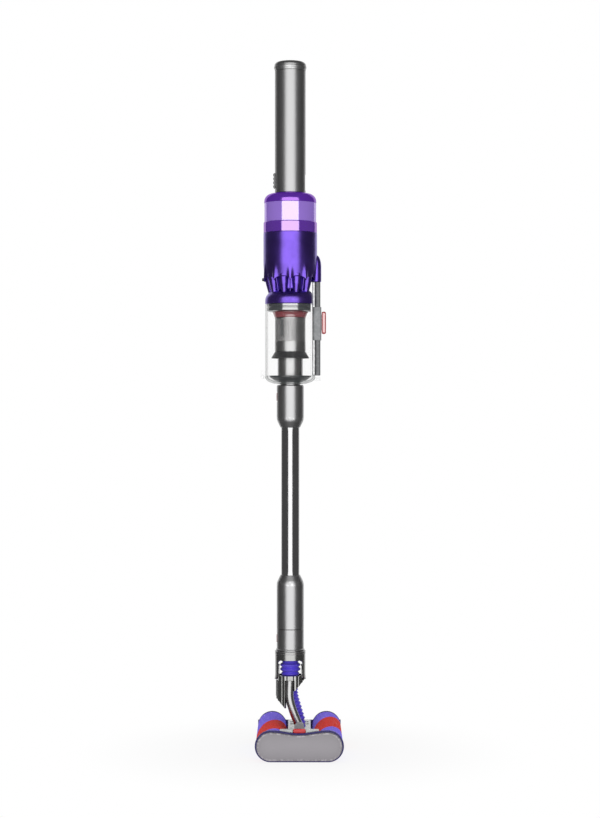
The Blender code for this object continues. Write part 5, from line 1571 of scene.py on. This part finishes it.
# ---------------------------------------------------------------- motor body
@dataclass
class MotorBody:
    """Motor housing with its scalloped foot, the two filter bands and the domed cap."""

    radius: float = 0.0420
    wall: float = 0.0022
    base: float = MOTOR_BASE
    top: float = 0.8087
    filter_base: float = 0.8088
    band_top: float = 0.8255
    filter_top: float = 0.8554
    filter_radius: float = 0.0405
    cap_base: float = 0.8555
    cap_top: float = 0.8700
    cap_radius: float = 0.0408
    foot: float = 0.7330

    def housing(self) -> None:
        """The housing: below its straight wall a skirt whose lower edge arches over each cyclone."""
        r = self.radius

        def scallop(turn: Array, radius: Array, height: Array) -> tuple[Array, Array]:
            """Lifts the foot by an arch that is highest at each cyclone, less so with height."""
            arch = np.abs(np.cos(5 * turn)) ** 0.6 * 0.0068
            near = np.cos(turn) > 0.93
            arch = np.where(near, 0.0, arch)
            weight = np.clip((self.base + 0.010 - height) / (self.base + 0.010 - self.foot), 0.0, 1.0)
            ridge = np.abs(np.sin(5 * turn)) ** 10 * np.where(near, 0.0, 1.0)
            rise = np.clip((0.7620 - height) / 0.026, 0.0, 1.0) * (radius > self.radius - 0.0015)
            return radius + rise * (0.0016 * ridge - 0.0012 * (1 - ridge)), height + arch * weight

        corners = [(r - 0.0002, self.top, 0.0006), (r, self.top - 0.001, 0), (r, self.base + 0.016, 0),
                   (r, self.base + 0.004, 0),
                   (r - 0.0004, self.foot + 0.0012, 0.0008), (r - 0.0012, self.foot, 0.0004),
                   (r - 0.0026, self.foot + 0.001, 0.0003),
                   (r - self.wall, self.base + 0.004, 0), (r - self.wall, self.top, 0)]
        piece("purple_housing", turned(corners, warp=scallop, angles=240,
                                       spacing=0.0025), Look.purple, "body",
              ["motor_housing"], 60.0)
        bulge = [(0.0, 0.7745, 0)] + [
            (0.0084 * math.sin(a) ** 0.9, 0.7560 + 0.0185 * math.cos(a), 0.0)
            for a in np.linspace(0.12, math.pi / 2, 16)
        ] + [(0.0085, 0.7400, 0.0), (0.0084, 0.7330, 0.0012), (0.0076, 0.7321, 0.0004), (0.0, 0.7321, 0)]
        piece("rail_bulge", turned(bulge, (WAND_X + 0.0400, 0.0), closed=False,
                                   angles=64), Look.purple, "body")

    def filters(self) -> None:
        """The violet band with a rolled rim, and the lilac shell."""
        r, f = self.radius - CLEAR, self.filter_radius
        band = [(r - 0.0006, self.band_top, 0.0006), (r, self.band_top - 0.0012, 0.0006),
                (r, self.filter_base, 0.0005),
                (f - 0.0023, self.filter_base, 0), (f - 0.0023, self.band_top, 0)]
        piece("violet_band", turned(band), Look.band_purple, "body")
        shell = [(f, self.filter_top, 0.0006), (f, self.band_top + 0.0001, 0.0),
                 (f - 0.0022, self.band_top + 0.0001, 0), (f - 0.0022, self.filter_top, 0)]
        piece("lilac_shell", turned(shell), Look.lilac, "body", ["filter_housing"])

    def cap(self) -> None:
        """The cap: a domed shoulder that sinks to the handle's seat."""
        r, t = self.cap_radius, self.cap_top
        bend = np.linspace(math.pi / 2, 0.0, 14)
        shoulder = [(r - 0.0125 + 0.0125 * math.cos(a), t - 0.0122 + 0.0122 * math.sin(a), 0.0) for a in bend]
        corners = [(0.0216, t + 0.0055, 0.0004), (0.0216, t, 0.0), *shoulder, (r, self.cap_base, 0.0004),
                   (r - 0.0022, self.cap_base, 0), (r - 0.0022, t - 0.012, 0), (r - 0.010, t - 0.0034, 0),
                   (0.0194, t - 0.0030, 0), (0.0194, t + 0.0055, 0)]
        piece("domed_cap", turned(corners), Look.cap_purple, "body", ["top_cap"])

    def build(self) -> None:
        """Makes the motor body and dresses what is inside it."""
        self.housing()
        self.filters()
        self.cap()
        dress(Look.copper, "motor_stator")
        dress(Look.steel, "motor_rotor")
        dress(Look.paper, "filter_cartridge")


# ---------------------------------------------------------------- rail and handle
@dataclass
class Rail:
    """The rail beside the bin, its catch housing and the red release."""

    inner: float = 0.0345
    outer: float = 0.0470
    half: float = 0.0090
    base: float = 0.5863
    top: float = 0.7317
    catch_top: float = 0.6930
    catch_height: float = 0.0520

    def build(self) -> None:
        """Makes the grooved rail, whose back is painted darker as shade, the catch housing and the release.
        """
        low, high = at(self.inner, -self.half, self.base), at(self.outer, self.half, self.top)
        split = low[0] + 0.0046
        piece("rail_strip", block((low[0], low[1] + 0.0016, low[2]),
                                  (split - 0.0003, high[1] - 0.0016, high[2]), Axis.Z, 0.0012, 0.0004),
              Look.fitting, "body", ["spine_rail"])
        # Painted shade: the back wears a darker grey than the strip's satin metal.
        piece("rail_back", block((split - 0.0003, low[1], low[2]), high, Axis.Z, 0.0030, 0.0006), Look.rail,
              "body")
        catch = block(at(self.inner + 0.0006, -self.half - 0.001, self.catch_top - self.catch_height),
                      at(self.outer + 0.0015, self.half + 0.001, self.catch_top), Axis.Z, 0.0032, 0.0008)
        piece("catch_box", catch, Look.catch, "body")
        out = self.outer + 0.0015
        top = self.catch_top - 0.0070
        pull = [block(at(out + CLEAR, -0.0070, top - 0.0350), at(out + CLEAR + 0.0072, 0.0070, top), Axis.X,
                      0.0032, 0.0022, 0.0003),
                block(at(out - 0.0040, -0.0025, top - 0.0290), at(out + 0.0020, 0.0025, top - 0.0050), Axis.X,
                      0.0008, 0.0003)]
        piece("red_pull", pull, Look.pull, "trigger", ["bin_release_slider"])


@dataclass
class Handle:
    """The battery handle: shell with its flared end cap, the ribbed slider and the sunk battery button."""

    radius: float = 0.0240
    wall: float = 0.0018
    base: float = 0.8713
    top: float = 1.0613
    cap_radius: float = 0.0253
    cap_top: float = 1.0766

    def shell(self) -> None:
        """The shell: straight, with a pocket on the +X side and a slot under the slider."""
        r = self.radius

        def pockets(turn: Array, radius: Array, height: Array) -> tuple[Array, Array]:
            """Sinks the button's pocket by 1.6 mm and the slider's slot by 1.2 mm, in the outer wall."""
            y = radius * np.sin(turn)
            outer = radius > r - self.wall / 2
            up = height - self.base
            button = (np.cos(turn) > 0) & (np.abs(y) < 0.0056) & (up > 0.0044) & (up < 0.0276)
            slot = (np.cos(turn) < 0) & (np.abs(y) < 0.0023) & (up > 0.011) & (up < 0.034)
            return radius - outer * (button * 0.0016 + slot * 0.0012), height

        corners = [(r, self.top, 0.0003), (r, self.base, 0.0004), (r - self.wall, self.base, 0),
                   (r - self.wall, self.top, 0)]
        piece("grip_shell", turned(corners, warp=pockets, spacing=0.0016, angles=180),
              Look.satin, "handle", ["handle_shell"], 50.0)

    def cap(self) -> None:
        """The end cap: a flared collar with a fine seam, a rounded shoulder and a shallow dish on top."""
        c, b, t = self.cap_radius, self.top + CLEAR, self.cap_top
        bend = np.linspace(math.pi / 2, 0.0, 12)
        dome = [(c - 0.0072 + 0.0066 * math.cos(a), t - 0.0070 + 0.0062 * math.sin(a), 0.0) for a in bend]
        corners = [(0.0, t - 0.0014, 0), (0.0140, t - 0.0014, 0.001), (0.0164, t - 0.0008, 0.001), *dome,
                   (c - 0.0010, t - 0.0076, 0.0003),
                   (c, t - 0.0082, 0.0008), (c, t - 0.0104, 0.0016), (c - 0.0009, b + 0.0022, 0.003),
                   (self.radius, b, 0.0003), (0.0219, b, 0), (0.0219, b - 0.006, 0), (0.0, b - 0.006, 0)]
        piece("grip_end", turned(corners, closed=False), Look.satin, "handle",
              ["handle_end_cap"])

    def controls(self) -> None:
        """The slider's plate with four ribs, and the battery button."""
        r, foot = self.radius, self.base + 0.0070
        ribs = [block(at(-r - 0.0025, -0.0048, foot + 0.006 * (i + 0.25)),
                      at(-r - 0.0012, 0.0048, foot + 0.006 * (i + 0.75)), Axis.Y,
                      0.0006, 0.0005) for i in range(4)]
        plate = block(at(-r - 0.0016, -0.005, foot), at(-r - CLEAR, 0.005, foot + 0.024), Axis.X, 0.0016,
                      0.0005)
        piece("ribbed_slider", [plate, *ribs], Look.dark, "mode", ["mode_slider"])
        base = self.base + 0.0050
        button = block(at(r - 0.0024, -0.005, base), at(r - 0.0008, 0.005, base + 0.022), Axis.X, 0.002,
                       0.0005, 0.0001)
        piece("battery_key", button, Look.dark, "battery_button", ["battery_release"])

    def build(self) -> None:
        """Makes the handle and dresses the cells inside it."""
        self.shell()
        self.cap()
        self.controls()
        dress(Look.wrap, "battery_pack")


# ---------------------------------------------------------------- studio
@dataclass
class Studio:
    """Pale floor, broad front light, soft top light, dark cards for the metal to reflect, and the camera."""

    distance: float = 3.0
    eye: float = 0.534
    lens: float = 84.5
    front: float = 1.35
    top: float = 0.8
    room: float = 0.50
    card: float = 0.12
    aside: float = 0.001
    lamp_near: float = -2.4
    card_half: float = 1.9

    def flat(self, name: str, corners: Sequence[Sequence[float]],
             material: bpy.types.Material) -> bpy.types.Object:
        """A flat staged sheet between four corners.

        Args:
            name: Its name.
            corners: Its corners, in order round it.
            material: Its material.

        Returns:
            The sheet.
        """
        mesh = bpy.data.meshes.new(name)
        mesh.from_pydata(corners, [], [(0, 1, 2, 3)])
        mesh.materials.append(material)
        made = bpy.data.objects.new(name, mesh)
        bpy.context.scene.collection.objects.link(made)
        return made

    def floor(self) -> None:
        """A floor that is lit near the vacuum and fades into the white room with distance."""
        paint = Paint("studio_floor")
        tree = paint.tree
        paint.put(Base_Color=(0.86, 0.86, 0.87, 1.0), Roughness=0.5, Specular_IOR_Level=0.2)
        where = paint.node("ShaderNodeTexCoord", out="Object")
        far = paint.node("ShaderNodeVectorMath", {"operation": "LENGTH"}, {0: where}, "Value")
        glow = paint.node("ShaderNodeEmission", {}, {"Color": (1, 1, 1, 1), "Strength": 1.0})
        share = 0.84 + far.above(0.08, 0.38) * 0.16
        mixed = paint.node("ShaderNodeMixShader", {},
                           {0: share, 1: Signal(paint, paint.shader.outputs[0]), 2: glow})
        tree.links.new(mixed.socket, tree.nodes["Material Output"].inputs["Surface"])
        made = self.flat("floor", [(-0.6, -0.6, 0), (0.6, -0.6, 0), (2.4, 9, 0), (-2.4, 9, 0)],
                         paint.material)
        made.visible_glossy = False

    def cards(self) -> None:
        """Dark cards at both sides that only glossy rays meet."""
        paint = Paint("studio_card")
        glow = paint.node("ShaderNodeEmission", {}, {"Color": (1, 1, 1, 1), "Strength": self.card})
        paint.tree.links.new(glow.socket, paint.tree.nodes["Material Output"].inputs["Surface"])
        w, near, back, low, top = self.card_half, self.lamp_near, 1.7, -1.2, 2.52
        sheets = {"card_left": [(-w, near, low), (-w, back, low), (-w, back, top), (-w, near, top)],
                  "card_right": [(w, near, low), (w, back, low), (w, back, top), (w, near, top)],
                  "card_over": [(-w, near, top), (w, near, top), (w, back, top), (-w, back, top)],
                  "card_under": [(-w, near, low), (w, near, low), (w, back, low), (-w, back, low)]}
        for name, corners in sheets.items():
            made = self.flat(name, corners, paint.material)
            made.visible_camera = made.visible_diffuse = False
            made.visible_shadow = made.visible_transmission = False

    def lamp(self, name: str, place: Sequence[float], turn: Sequence[float], size: Sequence[float],
             radiance: float) -> None:
        """An area light of a given brightness per area, unseen by the camera.

        Args:
            name: Its name.
            place: Its middle.
            turn: Its turn from facing down.
            size: Its width and height.
            radiance: Its brightness per area.
        """
        data = bpy.data.lights.new(name, "AREA")
        data.shape = "RECTANGLE"
        data.size, data.size_y = size
        data.energy = radiance * math.pi * size[0] * size[1]
        made = bpy.data.objects.new(name, data)
        made.location, made.rotation_euler = place, turn
        made.visible_camera = False
        made.visible_glossy = place[2] < 2.0
        bpy.context.scene.collection.objects.link(made)

    def room_light(self) -> None:
        """A white room to the eye, to gloss and through glass, and a dimmer one to matt surfaces."""
        world = bpy.data.worlds.new("room")
        bpy.context.scene.world = world
        world.use_nodes = True
        tree = world.node_tree
        back = tree.nodes["Background"]
        path = tree.nodes.new("ShaderNodeLightPath")
        seen: bpy.types.NodeSocket = path.outputs["Is Camera Ray"]
        for name in ("Is Glossy Ray", "Is Transmission Ray"):
            step = tree.nodes.new("ShaderNodeMath")
            step.operation = "MAXIMUM"
            tree.links.new(seen, step.inputs[0])
            tree.links.new(path.outputs[name], step.inputs[1])
            seen = step.outputs[0]
        strength = tree.nodes.new("ShaderNodeMapRange")
        strength.inputs["To Min"].default_value = self.room
        tree.links.new(seen, strength.inputs["Value"])
        tree.links.new(strength.outputs[0], back.inputs["Strength"])
        back.inputs["Color"].default_value = (1, 1, 1, 1)

    def camera(self) -> None:
        """The camera: level, straight on, at the height of the wand's middle."""
        data = bpy.data.cameras.new("camera")
        data.lens, data.sensor_width, data.sensor_fit = self.lens, 36.0, "AUTO"
        made = bpy.data.objects.new("camera", data)
        made.location = (self.aside, -self.distance, self.eye)
        made.rotation_euler = (math.pi / 2, 0, 0)
        bpy.context.scene.collection.objects.link(made)
        bpy.context.scene.camera = made

    def build(self) -> None:
        """Sets the whole studio."""
        self.camera()
        self.floor()
        self.cards()
        self.room_light()
        self.lamp("front_box", (0, self.lamp_near, 0.80), (math.pi / 2, 0, 0), (3.6, 3.4), self.front)
        self.lamp("top_box", (0, 0.2, 3.0), (0, 0, 0), (2.2, 2.2), self.top)
        bpy.context.scene.view_settings.view_transform = "Standard"


def main() -> None:
    """Builds every sub-assembly in order."""
    logging.basicConfig(level=logging.INFO, format="%(message)s")
    Studio().build()
    Head().build()
    Roller("a", -0.0435, Look.fleece_a).build()
    Roller("b", 0.0435, Look.fleece_b).build()
    Castors().build()
    Neck().build()
    Collar().build()
    Wand().build()
    Bin().build()
    Cyclones().build()
    MotorBody().build()
    Rail().build()
    Handle().build()


if __name__ == "__main__":
    main()
